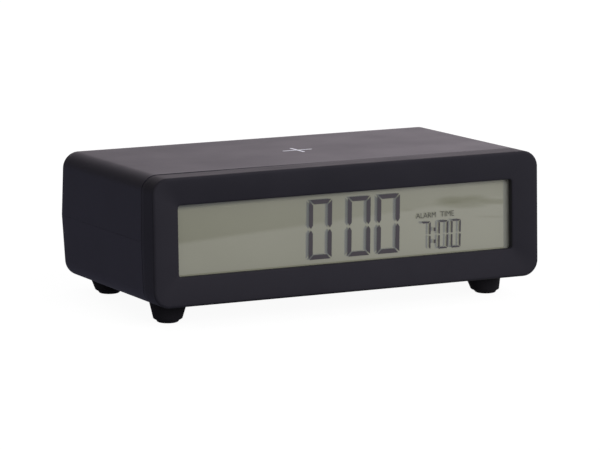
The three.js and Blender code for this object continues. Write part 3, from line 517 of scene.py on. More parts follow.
def circle_rings(profile, centre=(0, 0), sides=48):
    """Rings round the y axis: each profile pair is a radius and a place along y."""
    return [at_depth(circle(radius, centre, sides), y) for radius, y in profile]


def upright_rings(profile, centre, sides=32):
    """Rings round an upright axis: each profile pair is a radius and a height."""
    return [at_height(circle(radius, centre, sides), z) for radius, z in profile]


def rounded_rectangle(half_x, half_z, radius, centre=(0, 0), steps=6):
    """Outline of a rectangle with quarter circles at its corners, counted round from the right."""
    corners = []
    for k, side in enumerate(((1, 1), (-1, 1), (-1, -1), (1, -1))):
        corner = np.multiply(side, (half_x - radius, half_z - radius))
        corners.append(arc(radius, corner, (k + np.linspace(0, 1, steps + 1)) * pi / 2))
    return np.vstack(corners) + centre


def rectangle_rings(profile, radius, centre=(0, 0)):
    """Rings round the y axis: each profile entry is half width, half height and a place along y."""
    return [at_depth(rounded_rectangle(half_x, half_z, radius, centre), y) for half_x, half_z, y in profile]


# %% Carve the upper half
KEY_PLACES, SWITCH_PLACE = (-45, -27, -9, 9), 36
KEY_RADIUS, HOLE_GAP, HOLE_REACH = 4, 0.22, 5
SLOT_HALF, SLOT_CORNER = (4.6, 2.0), 0.6
BROKEN_EDGE = 0.25
SHELL_CREASE = 18
hole_radius, flare = KEY_RADIUS + HOLE_GAP, 2 * BROKEN_EDGE
hole_profile = [(hole_radius, -HOLE_REACH), (hole_radius, -BROKEN_EDGE), (hole_radius + flare, BROKEN_EDGE)]
holes = [wall_loft(circle_rings(hole_profile, (place, 0)), KEY_HEIGHT) for place in KEY_PLACES]
slot_profile = [(*SLOT_HALF, -HOLE_REACH), (*SLOT_HALF, -BROKEN_EDGE),
                (SLOT_HALF[0] + flare, SLOT_HALF[1] + flare, BROKEN_EDGE)]
holes.append(wall_loft(rectangle_rings(slot_profile, SLOT_CORNER, (SWITCH_PLACE, 0)), KEY_HEIGHT))
carve(upper, *holes)
hand_over(upper, housing_plastic, "housing", stands_for=["upper_shell"], sharp=SHELL_CREASE)

# %% Carve the lower half
DOOR_HALF, DOOR_HEIGHT, DOOR_GAP = 55.1, 17.5, 0.3
HINGE = (-WALL / 2, -DOOR_HEIGHT / 2 + WALL / 2)
OPENING_TOP = DOOR_HEIGHT / 2 + DOOR_GAP
OVERCUT = 1
NOTCH_RADIUS, NOTCH_DEPTH, NOTCH_POLE = 9, 1, 0.02
SCREW_REACH, SCREW_DEPTHS = 58, (34, 67.9)
SCREW_PLACES = [(side * SCREW_REACH, y) for side in (-1, 1) for y in SCREW_DEPTHS]
WELL_RADIUS, WELL_DEPTH = 2.6, 8
SOUNDER_PLACE, SOUND_RING, SOUND_COUNT = (-30, 46), 5, 8
SOUND_HOLE, SOUND_START, SOUND_SIDES = 0.9, -0.1, 20


def hinge_round(reach, start, steps=12):
    """Arc about the hinge line, from an angle on to the inner face, as places out of and up the wall."""
    angle = np.linspace(start, 2 * pi, steps + 1)
    return np.stack([HINGE[0] - reach * np.cos(angle), HINGE[1] + reach * np.sin(angle)], 1)


def section_rings(section, xs):
    """A section, given out of and up the wall, repeated at places along x."""
    return [np.column_stack([np.full(len(section), x), section]) for x in xs]


def drill(radius, start, centre, sides=32):
    """A cutter up through the floor of the housing, wider by the broken edge where it starts."""
    profile = [(radius + BROKEN_EDGE, start), (radius, BROKEN_EDGE), (radius, WALL + OVERCUT)]
    return loft(upright_rings(profile, centre, sides))


opening_reach, opening_half = WALL / 2 + DOOR_GAP, DOOR_HALF + DOOR_GAP
opening = np.vstack([[[OVERCUT, HINGE[1] - opening_reach]], hinge_round(opening_reach, 1.5 * pi),
                     [[-WALL - OVERCUT, OPENING_TOP], [OVERCUT, OPENING_TOP]]])
polar = np.linspace(NOTCH_POLE, pi - NOTCH_POLE, 25)
notch_profile = [(NOTCH_RADIUS * sin(a), NOTCH_RADIUS - NOTCH_DEPTH - NOTCH_RADIUS * cos(a)) for a in polar]
cuts = [wall_loft(section_rings(opening, (-opening_half, opening_half)), BAY_HEIGHT),
        wall_loft(circle_rings(notch_profile, (0, OPENING_TOP)), BAY_HEIGHT)]
cuts += [drill(WELL_RADIUS, -BROKEN_EDGE, place) for place in SCREW_PLACES]
cuts += [drill(SOUND_HOLE, SOUND_START, centre, SOUND_SIDES)
         for centre in (*circle(SOUND_RING, SOUNDER_PLACE, SOUND_COUNT), SOUNDER_PLACE)]
carve(lower, *cuts)
print("lower shell cuts:", len(cuts))

# %% Screw wells under the lower half
TUBE_START, TUBE_RADIUS, TUBE_BORE, TUBE_FLOOR, TUBE_STEP = 1.2, 4, 1.6, 2, 0.04
tube_inner, tube_end = WELL_RADIUS - TUBE_STEP, WELL_DEPTH + TUBE_FLOOR
tube_section = [(tube_inner, TUBE_START), (tube_inner, WELL_DEPTH), (TUBE_BORE, WELL_DEPTH),
                (TUBE_BORE, tube_end), (TUBE_RADIUS, tube_end), (TUBE_RADIUS, TUBE_START)]
tubes = [looped(upright_rings(tube_section, place)) for place in SCREW_PLACES]
finished("screw_wells", put_together(*tubes), housing_plastic, "housing")
hand_over(lower, housing_plastic, "housing", stands_for=["lower_shell"], sharp=SHELL_CREASE)

# %% [markdown]
# ## The front frame
# The frame is one moulding that closes the housing. From the seam it runs forward, turns round a small
# fillet, falls in a shallow curve to the window, and goes straight back to hold the display. Carried round
# the window, that section gives a grid that closes on itself both ways. The curve starts level with the
# front and gets steeper as a power of the way to the window, so it leaves the fillet without a crease.

# %% Section and outlines of the frame
FILLET, LIP_ROUND = 1.1, 0.35
TOP_SINK, SINK_END, SINK_REACH = 0.2, 21, 80
SIDE_MARGIN = 11.2
WINDOW_HALF = HALF_WIDTH - SIDE_MARGIN
WINDOW_LOW, WINDOW_HIGH, WINDOW_CORNER = 11.6, HEIGHT - 11.35, 1.2
BEZEL_DROP, BEZEL_POWER = 1.65, 1.4
RIM_BACK, SKIRT_BACK = 4.0, SEAM - SEAM_GAP / 2 + 3
SKIRT_OUT, SKIRT_IN = WALL + 0.3, WALL + 1.5
WIDE_STEPS, TALL_STEPS, ARC_STEPS = 48, 14, 14


def frame_outline(half, low, high, radius):
    """Rounded rectangle as x and z: arcs and straights in turn, from the lower right corner round."""
    side, bottom, top = half - radius, low + radius, high - radius
    centres = np.array([(side, bottom), (side, top), (-side, top), (-side, bottom)])
    parts = []
    for k, centre in enumerate(centres):
        bend = arc(radius, centre, (k - 1 + np.linspace(0, 1, ARC_STEPS + 1)) * pi / 2)
        end = bend[-1] + centres[(k + 1) % 4] - centre
        share = np.linspace(0, 1, (TALL_STEPS, WIDE_STEPS)[k % 2] + 1)[1:-1, None]
        parts += [bend, bend[-1] * (1 - share) + end * share]
    return np.vstack(parts)


def outer_ring(inset, y, swell=0.0):
    """The frame's outline drawn in by an inset, at a depth; swell takes its sides out to the shells'.

    The frame's top sinks a fifth of a millimetre towards the left, so the lid's edge shows as a fine line.
    """
    x, z = frame_outline(HALF_WIDTH - inset, inset, HEIGHT - inset, max(CORNER - inset, 0.5)).T
    straight = HEIGHT - CORNER - PARTING
    sink = TOP_SINK * np.clip((SINK_END - x) / SINK_REACH, 0, 1) ** 2
    z = z - sink * np.clip((z - PARTING) / straight, 0, 1)
    draft = np.where(z > PARTING, (HEIGHT - CORNER - z) / straight, (z - CORNER) / (PARTING - CORNER))
    on_side = np.abs(x) > HALF_WIDTH - inset - 0.01
    x = x + np.sign(x) * on_side * swell * SIDE_DRAFT * np.clip(draft, 0, 1)
    return at_depth(np.stack([x, z], 1), y)


def window_ring(grow, y):
    """The window's outline let out by grow, at a depth."""
    return at_depth(frame_outline(WINDOW_HALF + grow, WINDOW_LOW - grow, WINDOW_HIGH + grow,
                                  WINDOW_CORNER + grow), y)


# %% Build the frame
SLOPE = atan(BEZEL_POWER * BEZEL_DROP / (SIDE_MARGIN - FILLET))
SEAM_ROUND = ((0.05, 0), (0.015, 0.02), (0, 0.05))
SIDE_SHARES = (0.25, 0.5, 0.75, 0.93)
FILLET_STEPS, BEZEL_STEPS, LIP_STEPS, FRAME_CREASE = 15, 16, 5, 30
seam_front = SEAM - SEAM_GAP / 2 + SEAM_CLOSE
rings = [outer_ring(inset, seam_front - forward, 1) for inset, forward in SEAM_ROUND]
rings += [outer_ring(0, seam_front + (FILLET - seam_front) * share, 1 - share) for share in SIDE_SHARES]
rings += [outer_ring(FILLET * (1 - cos(angle)), FILLET * (1 - sin(angle)))
          for angle in np.linspace(0, pi / 2, FILLET_STEPS + 1)]
slope_start, slope_end = rings[-1], window_ring(LIP_ROUND, BEZEL_DROP - LIP_ROUND * SLOPE)
for share in np.linspace(0, 1, BEZEL_STEPS + 1)[1:]:
    ring = slope_start * (1 - share) + slope_end * share
    ring[:, 1] = slope_end[:, 1] * share ** BEZEL_POWER
    rings.append(ring)
rings += [window_ring(LIP_ROUND * (1 - sin(angle)), BEZEL_DROP + LIP_ROUND * (1 - cos(angle)))
          for angle in np.linspace(SLOPE, pi / 2, LIP_STEPS + 1)[1:]]
rings += [window_ring(0, RIM_BACK), outer_ring(SKIRT_IN, RIM_BACK), outer_ring(SKIRT_IN, SKIRT_BACK),
          outer_ring(SKIRT_OUT, SKIRT_BACK), outer_ring(SKIRT_OUT, seam_front)]
finished("front_frame_moulding", looped(rings), frame_plastic, "front_frame", stands_for=["front_frame"],
         sharp=FRAME_CREASE)

# %% [markdown]
# ## The display
# A liquid crystal display is a sandwich: the segments sit in the front glass, and a pale reflector lies
# behind the rear glass. Light that passes the segments leaves a soft blue-grey shadow on the reflector,
# which shows beside each bar when the display is seen at an angle. So the reflector is set back, the
# segments stand where the front glass is, and feathered shadows lie on the reflector.

# %% Display finishes
SHADOW_STRENGTH = 0.26
display_face = grained("display_face", (131, 131, 116), (135, 135, 120), grain=1500.0, swirl=22.0, relief=0,
                       Roughness=0.5, Specular_IOR_Level=0.0, Coat_Weight=1.0, Coat_Roughness=0.012,
                       Coat_IOR=1.8)
segment_dark = grained("segment_dark", (64, 60, 65), (67, 63, 68), (0.3, 0.4), relief=0.002)
caption_grey = grained("caption_grey", (72, 72, 67), (78, 78, 73), (0.4, 0.5), relief=0.002)
display_edge = grained("display_edge", (125, 126, 119), (131, 132, 125), (0.5, 0.6), relief=0.01)

segment_shadow, tree, shader = new_material("segment_shadow", Base_Color=screen_colour(88, 98, 126),
                                            Roughness=0.6, Specular_IOR_Level=0.0)
feather = add_node(tree, "ShaderNodeAttribute", attribute_name="feather").outputs["Fac"]
tree.links.new(rise(tree, feather, 0.0, 1.0, 0.0, SHADOW_STRENGTH, clamp=False), shader.inputs["Alpha"])

# %% Reflector and its edge
FILM_FRONT, REFLECTOR = 4.3, 4.8
PLATE_CORNER, PLATE_THICKNESS, EDGE_BEHIND = 0.5, 0.8, 0.1
FACE_PLATE = (-74.8, 71.1, WINDOW_LOW - 2.4, WINDOW_HIGH + 1.4)
EDGE_PLATE = (-75.4, 75.4, 9.5, 41.4)


def plate(left, end, foot, top, y):
    """A thin plate that faces forward at a depth, with rounded corners."""
    half_x, half_z = (end - left) / 2, (top - foot) / 2
    profile = [(half_x, half_z, y + PLATE_THICKNESS), (half_x, half_z, y)]
    return loft(rectangle_rings(profile, PLATE_CORNER, ((left + end) / 2, (foot + top) / 2)))


finished("display_reflector", plate(*FACE_PLATE, REFLECTOR), display_face, "display_film",
         stands_for=["display_film", "lcd_cell"])
finished("display_border", plate(*EDGE_PLATE, REFLECTOR + EDGE_BEHIND), display_edge, "display_glass")

# %% [markdown]
# ## Seven segments
# Each bar of a digit is cut at forty-five degrees where it meets the next one, with a fine gap between
# them, and comes to a point at the digit's middle. The digits lean a little to the right. A bar is a
# small polygon; the same polygon, let out with a fading rim, is its shadow.

# %% Bars of a digit
DIGIT_FOOT, DIGIT_LEAN, MIDDLE_RISE = 13.65, 0.027, 0.15
ZERO, SEVEN = "abcdef", "abc"
LARGE_SIZE, LARGE_GAPS = (10.05, 23.85, 1.75), (0.85, 0.6, 0.75)
SMALL_SIZE, SMALL_GAPS = (4.35, 11.45, 0.65), (0.5, 0.5, 0.3)
LARGE_DIGITS = ((-16.25, ZERO), (0.78, ZERO), (13.8, ZERO))
SMALL_DIGITS = ((33.35, SEVEN), (41.2, ZERO), (46.95, ZERO))
COLON_LEFT, COLON_END, COLON_HEIGHT, COLON_FEET = 39.15, 39.95, 1.45, (16.1, 21.0)


def digit_bars(left, lit, size, gaps):
    """Polygons of the lit bars as x and z, named a to f from the top bar clockwise.

    The size is width, height and stroke. The gaps are the one at a mitre, the one at the middle, and how
    many strokes long the points at the middle are.
    """
    (width, height, s), (mitre_gap, middle_gap, taper) = size, gaps
    x0, x1, z0, z2 = left, left + width, DIGIT_FOOT, DIGIT_FOOT + height
    z1, g, h = DIGIT_FOOT + height / 2 + MIDDLE_RISE, mitre_gap / 2, s / 2
    tip, blunt = middle_gap / 2, middle_gap / 2 + taper * s
    bars = {
        "a": [(x0 + g, z2), (x1 - g, z2), (x1 - s - g, z2 - s), (x0 + s + g, z2 - s)],
        "b": [(x1, z2 - g), (x1, z1 + blunt), (x1 - h, z1 + tip), (x1 - s, z1 + blunt), (x1 - s, z2 - s - g)],
        "c": [(x1, z0 + g), (x1 - s, z0 + s + g), (x1 - s, z1 - blunt), (x1 - h, z1 - tip), (x1, z1 - blunt)],
        "d": [(x0 + g, z0), (x0 + s + g, z0 + s), (x1 - s - g, z0 + s), (x1 - g, z0)],
        "e": [(x0, z0 + g), (x0, z1 - blunt), (x0 + h, z1 - tip), (x0 + s, z1 - blunt), (x0 + s, z0 + s + g)],
        "f": [(x0, z2 - g), (x0 + s, z2 - s - g), (x0 + s, z1 + blunt), (x0 + h, z1 + tip), (x0, z1 + blunt)],
    }
    chosen = [np.array(bars[letter], float) for letter in lit]
    for bar in chosen:
        bar[:, 0] += DIGIT_LEAN * (bar[:, 1] - z1)
    return chosen


large = [bar for digit in LARGE_DIGITS for bar in digit_bars(*digit, LARGE_SIZE, LARGE_GAPS)]
small = [bar for digit in SMALL_DIGITS for bar in digit_bars(*digit, SMALL_SIZE, SMALL_GAPS)]
colon = [np.array([(COLON_LEFT, z), (COLON_END, z), (COLON_END, z + COLON_HEIGHT),
                   (COLON_LEFT, z + COLON_HEIGHT)]) for z in COLON_FEET]
print("bars:", len(large) + len(small), "colon dots:", len(colon))

# %% Segments and shadows
SEGMENT_THICKNESS, SHADOW_CLEAR = 0.04, 0.03
SHADOW_SPREAD, CORE_SHARE = 0.35, 0.6


def spread_out(flat, reach):
    """The polygon with each corner moved out along the line that halves its angle."""
    x, z = flat.T
    way_round = np.sign(x @ np.roll(z, -1) - z @ np.roll(x, -1))
    sides = np.roll(flat, -1, 0) - flat
    sides /= np.linalg.norm(sides, axis=1)[:, None]
    turn_x, turn_z = (sides + np.roll(sides, 1, 0)).T
    normals = way_round * np.stack([turn_z, -turn_x], 1)
    return flat + reach * normals / np.linalg.norm(normals, axis=1)[:, None]


def bar_shadow(bar):
    """A shadow's core, and the rim that fades from the core's edge outwards."""
    size = len(bar)
    points = np.vstack([spread_out(bar, -CORE_SHARE * SHADOW_SPREAD), spread_out(bar, SHADOW_SPREAD)])
    return at_depth(points, REFLECTOR - SHADOW_CLEAR), [list(range(size))] + grid_faces(2, size, 0, True)


def feather_sheet(name, points, faces, dark):
    """A shadow as a sheet; its feather value is how dark each point is, with 0 for no shadow."""
    sheet = add_mesh(name, to_shelf(points), faces)
    sheet.data.attributes.new("feather", "FLOAT", "POINT").data.foreach_set("value", dark)
    hand_over(sheet, segment_shadow, "display_film")


bar_plates = [loft([at_depth(bar, FILM_FRONT + SEGMENT_THICKNESS), at_depth(bar, FILM_FRONT)])
              for bar in large + small + colon]
segments = finished("display_segments", put_together(*bar_plates), segment_dark, "display_film")
segments.visible_shadow = False
for name, bars, shift_by in (("segment_shadow_large", large, (-1.05, 0, 0.2)),
                             ("segment_shadow_small", small + colon, (-1.3, 0, 0.2))):
    points, faces = put_together(*[bar_shadow(bar) for bar in bars])
    dark = np.concatenate([np.repeat([1.0, 0.0], len(bar)) for bar in bars])
    feather_sheet(name, points + shift_by, faces, dark)

# %% Shadow under the window's upper lip
LIP_SHADOW = ((-76, 2.4, 2.1), (-55, 1.9, 1.5), (-30, 1.3, 0.9), (0, 1.0, 0.5), (76, 0.9, 0.2))
LIP_LEFT, LIP_END, LIP_HIDDEN, LIP_FADE = -74, 70.5, 0.8, 1.5
LIP_ROWS, LIP_COLUMNS, LIP_CLEAR, LIGHT_FALL = 9, 49, 0.02, 0.15
places, reaches, strengths = np.array(LIP_SHADOW).T
share, lip_x = np.linspace(0, 1, LIP_ROWS)[:, None], np.linspace(LIP_LEFT, LIP_END, LIP_COLUMNS)
lip_start = WINDOW_HIGH - (REFLECTOR - BEZEL_DROP) * LIGHT_FALL + LIP_HIDDEN
lip_z = lip_start - (np.interp(lip_x, places, reaches) + LIP_HIDDEN) * share
lip_flat = np.stack([lip_x + 0 * share, lip_z], -1).reshape(-1, 2)
lip_dark = np.interp(lip_x, places, strengths) * (1 - share) ** LIP_FADE
feather_sheet("lip_shadow", at_depth(lip_flat, REFLECTOR - LIP_CLEAR), grid_faces(LIP_ROWS, LIP_COLUMNS),
              lip_dark.ravel())

# %% [markdown]
# ## Small lettering
# The caption over the small digits and the key legends at the back are generic words. Blender's own
# letters are laid out flat, made a mesh, and only then put in place, so that the finished piece has its
# place in its mesh.

# %% Words as thin plates
CAPTIONS = (("ALARM", 31.2, 8.95), ("TIME", 42.25, 6.1))
CAPTION_FOOT, CAPTION_HEIGHT, CAPTION_THICKNESS = 26.6, 2.15, 0.03


def word_points(text, height, width):
    """Flat letters as points and faces, scaled to a height and a width, from the lower left corner."""
    curve = bpy.data.curves.new("word", "FONT")
    curve.body, curve.extrude, curve.resolution_u = text, 0.01, 4
    holder = add_object("word", curve)
    graph = bpy.context.evaluated_depsgraph_get()
    mesh = bpy.data.meshes.new_from_object(holder.evaluated_get(graph))
    points = np.empty(len(mesh.vertices) * 3)
    mesh.vertices.foreach_get("co", points)
    points = points.reshape(-1, 3)
    faces = [list(face.vertices) for face in mesh.polygons]
    bpy.data.objects.remove(holder)
    low, high = points.min(0), points.max(0)
    return (points - low) / (high - low) * (width, height, 1), faces


def caption(text, left, width):
    """A word in the front glass: letters upright, and their thickness towards the reader."""
    points, faces = word_points(text, CAPTION_HEIGHT, width)
    x, z, thick = points.T
    return np.column_stack([left + x, FILM_FRONT - CAPTION_THICKNESS * thick, CAPTION_FOOT + z]), faces


captions = put_together(*[caption(*word) for word in CAPTIONS])
finished("display_caption", captions, caption_grey, "display_film").visible_shadow = False

# %% [markdown]
# ## The touch key's mark
# A thin plus sign on the lid shows where the hidden touch plate is. It's a print with round ends, a few
# hundredths of a millimetre proud of the lid.

# %% Plus sign on the lid
MARK_WIDTH, MARK_DEPTH, MARK_STROKE = 13.2, 13.6, 1.1
MARK_SUNK, MARK_RISES, END_ROUND = 0.1, (0.03, 0.027), 0.98


def bar_on_lid(width, depth, rise_by):
    """A flat bar with round ends that lies on the lid."""
    flat = rounded_rectangle(width / 2, depth / 2, min(width, depth) / 2 * END_ROUND, TOUCH_PLATE_CENTRE[:2])
    return loft([at_height(flat, z) for z in (HEIGHT - MARK_SUNK, HEIGHT + rise_by)])


plus = put_together(bar_on_lid(MARK_WIDTH, MARK_STROKE, MARK_RISES[0]),
                    bar_on_lid(MARK_STROKE, MARK_DEPTH, MARK_RISES[1]))
finished("touch_print", plus, mark_silver, "touch_mark", stands_for=["touch_mark"])

# %% [markdown]
# ## Feet
# Four rubber stubs carry the clock. Each tapers towards its sole, splays outwards and leans forward, and
# its sole is cut level with the shelf. A foot is a stack of rings whose radius follows the taper, then
# steps in over a short chamfer to the sole, each ring sheared by its depth.

# %% Build the feet
FOOT_REACH = WIDTH / 2 - 15.1
FOOT_RADII, FOOT_EDGE = (7.85, 5.85), 1.5
FOOT_CHAMFER = ((1.35, 5.7), (1.22, 5.45), (0.95, 4.95), (0.9, 4.75), (0.8, 4.7), (0.25, 4.3), (0.1, 4.15),
                (0.0, 3.9))
FOOT_SPLAY, FOOT_LEAN, FOOT_START = 0.107, 0.12, 0.002
FOOT_SIDES, TAPER_STEPS, FOOT_CREASE = 64, 8, 50


def foot_height(y):
    """How high the housing stands at a depth: the front feet's height, less the slope times the way back."""
    return FOOT_HEIGHTS[0] - (y - FOOT_PLACES[0]) * FOOT_SLOPE


def foot_rings(side, y):
    """Rings from the housing to the sole: radius by depth, sheared outwards and forwards."""
    height = foot_height(y)
    above, sole_radii = np.array(FOOT_CHAMFER).T
    taper = np.linspace(FOOT_START, 1 - FOOT_EDGE / height, TAPER_STEPS)
    shares = np.concatenate([taper, 1 - above / height])
    radii = np.concatenate([np.linspace(*FOOT_RADII, TAPER_STEPS), sole_radii])
    rows = []
    for share, radius in zip(shares, radii):
        middle = (side * (FOOT_REACH + FOOT_SPLAY * height * share), y - FOOT_LEAN * height * share)
        x, row_y = circle(radius, middle, FOOT_SIDES).T
        rows.append(np.stack([x, row_y, -share * foot_height(row_y)], 1))
    return rows


for row, y in zip(("front", "rear"), FOOT_PLACES):
    for hand, side in (("left", -1), ("right", 1)):
        name = f"foot_{row}_{hand}"
        finished(name + "_rubber", loft(foot_rings(side, y)), foot_rubber, "foot_rubber", stands_for=[name],
                 sharp=FOOT_CREASE)

# %% [markdown]
# ## Keys, switch and battery door
# The back isn't in the picture, so it follows what such clocks have: four round keys, an alarm switch and
# a door over two cells. These pieces ride on their own bodies, so each stays in its hole when it moves.

# %% Round keys
KEY_PROUD, KEY_ROUND, KEY_DISH, KEY_SIDES = 1.2, 0.45, 0.25, 64
ROUND_START, DISH_MARGIN, DISH_MIDDLE = 0.2, 0.15, 0.05
STEM_RADIUS, STEM_BACK, FLANGE_RADIUS, FLANGE_BACK, FLANGE_FRONT = 1.5, -5, 5.2, -3.7, -2.7
KEY_BODIES = ("hour_button", "minute_button", "time_set_button", "alarm_set_button")
cap_profile = [(STEM_RADIUS, STEM_BACK), (STEM_RADIUS, FLANGE_BACK), (FLANGE_RADIUS, FLANGE_BACK),
               (FLANGE_RADIUS, FLANGE_FRONT), (KEY_RADIUS, FLANGE_FRONT), (KEY_RADIUS, KEY_PROUD - KEY_ROUND)]
cap_profile += [(KEY_RADIUS - KEY_ROUND * (1 - cos(a)), KEY_PROUD - KEY_ROUND * (1 - sin(a)))
                for a in np.linspace(ROUND_START, pi / 2, 6)]
dish_edge = KEY_RADIUS - KEY_ROUND - DISH_MARGIN
cap_profile += [(dish_edge * cos(a), KEY_PROUD - KEY_DISH * sin(a) ** 2)
                for a in np.linspace(0, pi / 2, 9)[:-1]]
cap_profile.append((DISH_MIDDLE, KEY_PROUD - KEY_DISH))
for body, place in zip(KEY_BODIES, KEY_PLACES):
    cap = wall_loft(circle_rings(cap_profile, (place, 0), KEY_SIDES), KEY_HEIGHT)
    finished(body + "_cap", cap, key_plastic, "keys", body=body, stands_for=[body])

# %% Ribbed switch knob
KNOB_START, KNOB_PROUD, KNOB_BACK = SWITCH_PLACE - 2, 1.8, -3.2
KNOB_HALF, KNOB_FLANGE = (2.3, 1.7), (6.3, 2.7)
RIB_PITCH, RIB_HALF, RIB_REACH = 1.3, 0.28, 1.5
knob_flange = [(*KNOB_FLANGE, FLANGE_BACK), (*KNOB_FLANGE, FLANGE_FRONT)]
knob_body = [(*KNOB_HALF, KNOB_BACK)]
knob_body += [(KNOB_HALF[0] - inset, KNOB_HALF[1] - inset, KNOB_PROUD - down)
              for inset, down in ((0, 0.25), (0.08, 0.08), (0.25, 0))]
rib = [(RIB_HALF, RIB_REACH, KNOB_PROUD - 0.4), (RIB_HALF, RIB_REACH, KNOB_PROUD + 0.25),
       (RIB_HALF * 0.6, RIB_REACH - 0.1, KNOB_PROUD + 0.4)]
knob_parts = [(knob_flange, 0.3, 0), (knob_body, 0.5, 0)] + [(rib, 0.12, k * RIB_PITCH) for k in (-1, 0, 1)]
knob = put_together(*[wall_loft(rectangle_rings(profile, radius, (KNOB_START + along, 0)), KEY_HEIGHT)
                      for profile, radius, along in knob_parts])
finished("alarm_switch_knob", knob, slider_rubber, "switch_knob", body="alarm_switch",
         stands_for=["alarm_switch"])

# %% Battery door
EDGE, DOOR_TOP = 0.3, DOOR_HEIGHT / 2
END_SHRINK = (0.8, 0.975)
GRIP_COUNT, GRIP_TOP, GRIP_PITCH, GRIP_HALF, GRIP_STEP = 4, 6.9, 1.6, 9, 1.1
GROOVE_HALF, GROOVE_DEPTH, GROOVE_OUT, GROOVE_ROUND = 0.3, 0.35, 0.3, 0.28
door_outline = np.vstack([hinge_round(WALL / 2, pi, 20),
                          [[-WALL, DOOR_TOP - EDGE], [-WALL + EDGE, DOOR_TOP], [-EDGE, DOOR_TOP],
                           [-EDGE * 0.3, DOOR_TOP - EDGE * 0.3], [0, DOOR_TOP - EDGE]]])
door_middle = np.array([-WALL / 2, 0])
door_end = door_middle + (door_outline - door_middle) * END_SHRINK
door_rings = section_rings(door_end, [-DOOR_HALF])
door_rings += section_rings(door_outline, [-DOOR_HALF + EDGE, DOOR_HALF - EDGE])
door_rings += section_rings(door_end, [DOOR_HALF])
door = mesh_object("battery_cover", *wall_loft(door_rings, BAY_HEIGHT))
grooves = []
for k in range(GRIP_COUNT):
    half_x = GRIP_HALF - GRIP_STEP * k
    groove = [(half_x, GROOVE_HALF, -GROOVE_DEPTH),
              (half_x + GROOVE_DEPTH, GROOVE_HALF + GROOVE_DEPTH, GROOVE_OUT)]
    place = (0, GRIP_TOP - GRIP_PITCH * k)
    grooves.append(wall_loft(rectangle_rings(groove, GROOVE_ROUND, place), BAY_HEIGHT))
carve(door, *grooves)
hand_over(door, housing_plastic, "housing", body="battery_door", stands_for=["battery_door"])

# %% Pins and latch of the door
PIN_RADIUS, PIN_ROOT, PIN_LENGTH = 0.7, 1, 1.6
LATCH_HALF, LATCH_REACH, LATCH_PLACE = (6, 0.45), 1.6, 6.13
pin_shapes = []
for side in (-1, 1):
    ends = sorted((side * (DOOR_HALF - PIN_ROOT), side * (DOOR_HALF + PIN_LENGTH)))
    pin_shapes.append(wall_loft(section_rings(circle(PIN_RADIUS, HINGE, 20), ends), BAY_HEIGHT))
latch = [(*LATCH_HALF, -WALL - LATCH_REACH), (*LATCH_HALF, -WALL / 2)]
pin_shapes.append(wall_loft(rectangle_rings(latch, 0.2, (0, LATCH_PLACE)), BAY_HEIGHT))
finished("battery_cover_pins", put_together(*pin_shapes), housing_plastic, "housing", body="battery_door")

# %% Legends at the back
LEGEND_HEIGHT, LEGEND_RISE = 1.5, 0.02
UNDER_KEYS, BESIDE_KNOB = -8.2, -LEGEND_HEIGHT / 2
LEGENDS = (("HOUR", -45, 5.6, UNDER_KEYS), ("MIN", -27, 4.3, UNDER_KEYS), ("TIME", -9, 5.2, UNDER_KEYS),
           ("ALARM", 9, 6.9, UNDER_KEYS), ("OFF", SWITCH_PLACE - 6.9, 3.4, BESIDE_KNOB),
           ("ON", SWITCH_PLACE + 6.6, 2.5, BESIDE_KNOB))


def legend(text, centre, width, foot):
    """A word on the back wall. It's read from behind, so its letters run towards negative x."""
    points, faces = word_points(text, LEGEND_HEIGHT, width)
    x, z, thick = points.T
    flat = np.column_stack([centre + width / 2 - x, LEGEND_RISE * (1.5 * thick - 0.5), foot + z])
    return on_wall(flat, KEY_HEIGHT), faces


legends = put_together(*[legend(*word) for word in LEGENDS])
finished("key_legends", legends, lettering_white, "touch_mark")

# %% [markdown]
# ## Screw heads
# The case screws sit deep in their wells. Each head is a low dome with a cross for the screwdriver. Its
# surface is one function of radius and angle: the dome's height less the depth of the cross, which is
# measured by how near a point lies to one of two lines.

# %% Domed heads with a cross
HEAD_RADIUS, HEAD_RIM, HEAD_DOME = 2.3, 1.3, 0.5
CROSS_HALF, CROSS_REACH, CROSS_DEPTH, CROSS_SLOPES = 0.38, 1.45, 0.8, (0.12, 0.2)
HEAD_SEAT, SHANK_RADIUS, SHANK_LENGTH = WELL_DEPTH - 0.3, 1.3, 6
HEAD_SIDES, HEAD_STEPS, HEAD_CREASE = 72, 16, 25


def screw_head(place):
    """Rings from the rim to the middle; a point is lowered where it lies in one of the two cross slots."""
    radii = np.concatenate([[SHANK_RADIUS, SHANK_RADIUS, HEAD_RADIUS, HEAD_RADIUS],
                            np.linspace(HEAD_RADIUS - 0.15, 0.02, HEAD_STEPS)])[:, None]
    x, y = (radii * part for part in circle(1, (0, 0), HEAD_SIDES).T)
    dome = HEAD_DOME * (1 - (radii / HEAD_RADIUS) ** 2)
    beside = (CROSS_HALF - np.minimum(np.abs(x), np.abs(y))) / CROSS_SLOPES[0]
    cross = np.clip(beside, 0, 1) * np.clip((CROSS_REACH - radii) / CROSS_SLOPES[1], 0, 1)
    z = HEAD_SEAT - HEAD_RIM - dome + CROSS_DEPTH * cross
    z[0], z[1], z[2], z[3] = HEAD_SEAT + SHANK_LENGTH, HEAD_SEAT, HEAD_SEAT, HEAD_SEAT - HEAD_RIM
    return loft(np.stack([place[0] + x, place[1] + y, z], -1))


heads = put_together(*[screw_head(place) for place in SCREW_PLACES])
finished("case_screw_heads", heads, screw_steel, "steel",
         stands_for=[f"case_screw_{k}" for k in (1, 2, 3, 4)], sharp=HEAD_CREASE)

# %% [markdown]
# ## What the engineering model already shapes well
# Cells, contacts, boards and leads keep their CAD shapes and get real finishes. The circuit boards show
# their copper under green lacquer, the cells have a printed band, and the leads are glossy plastic.

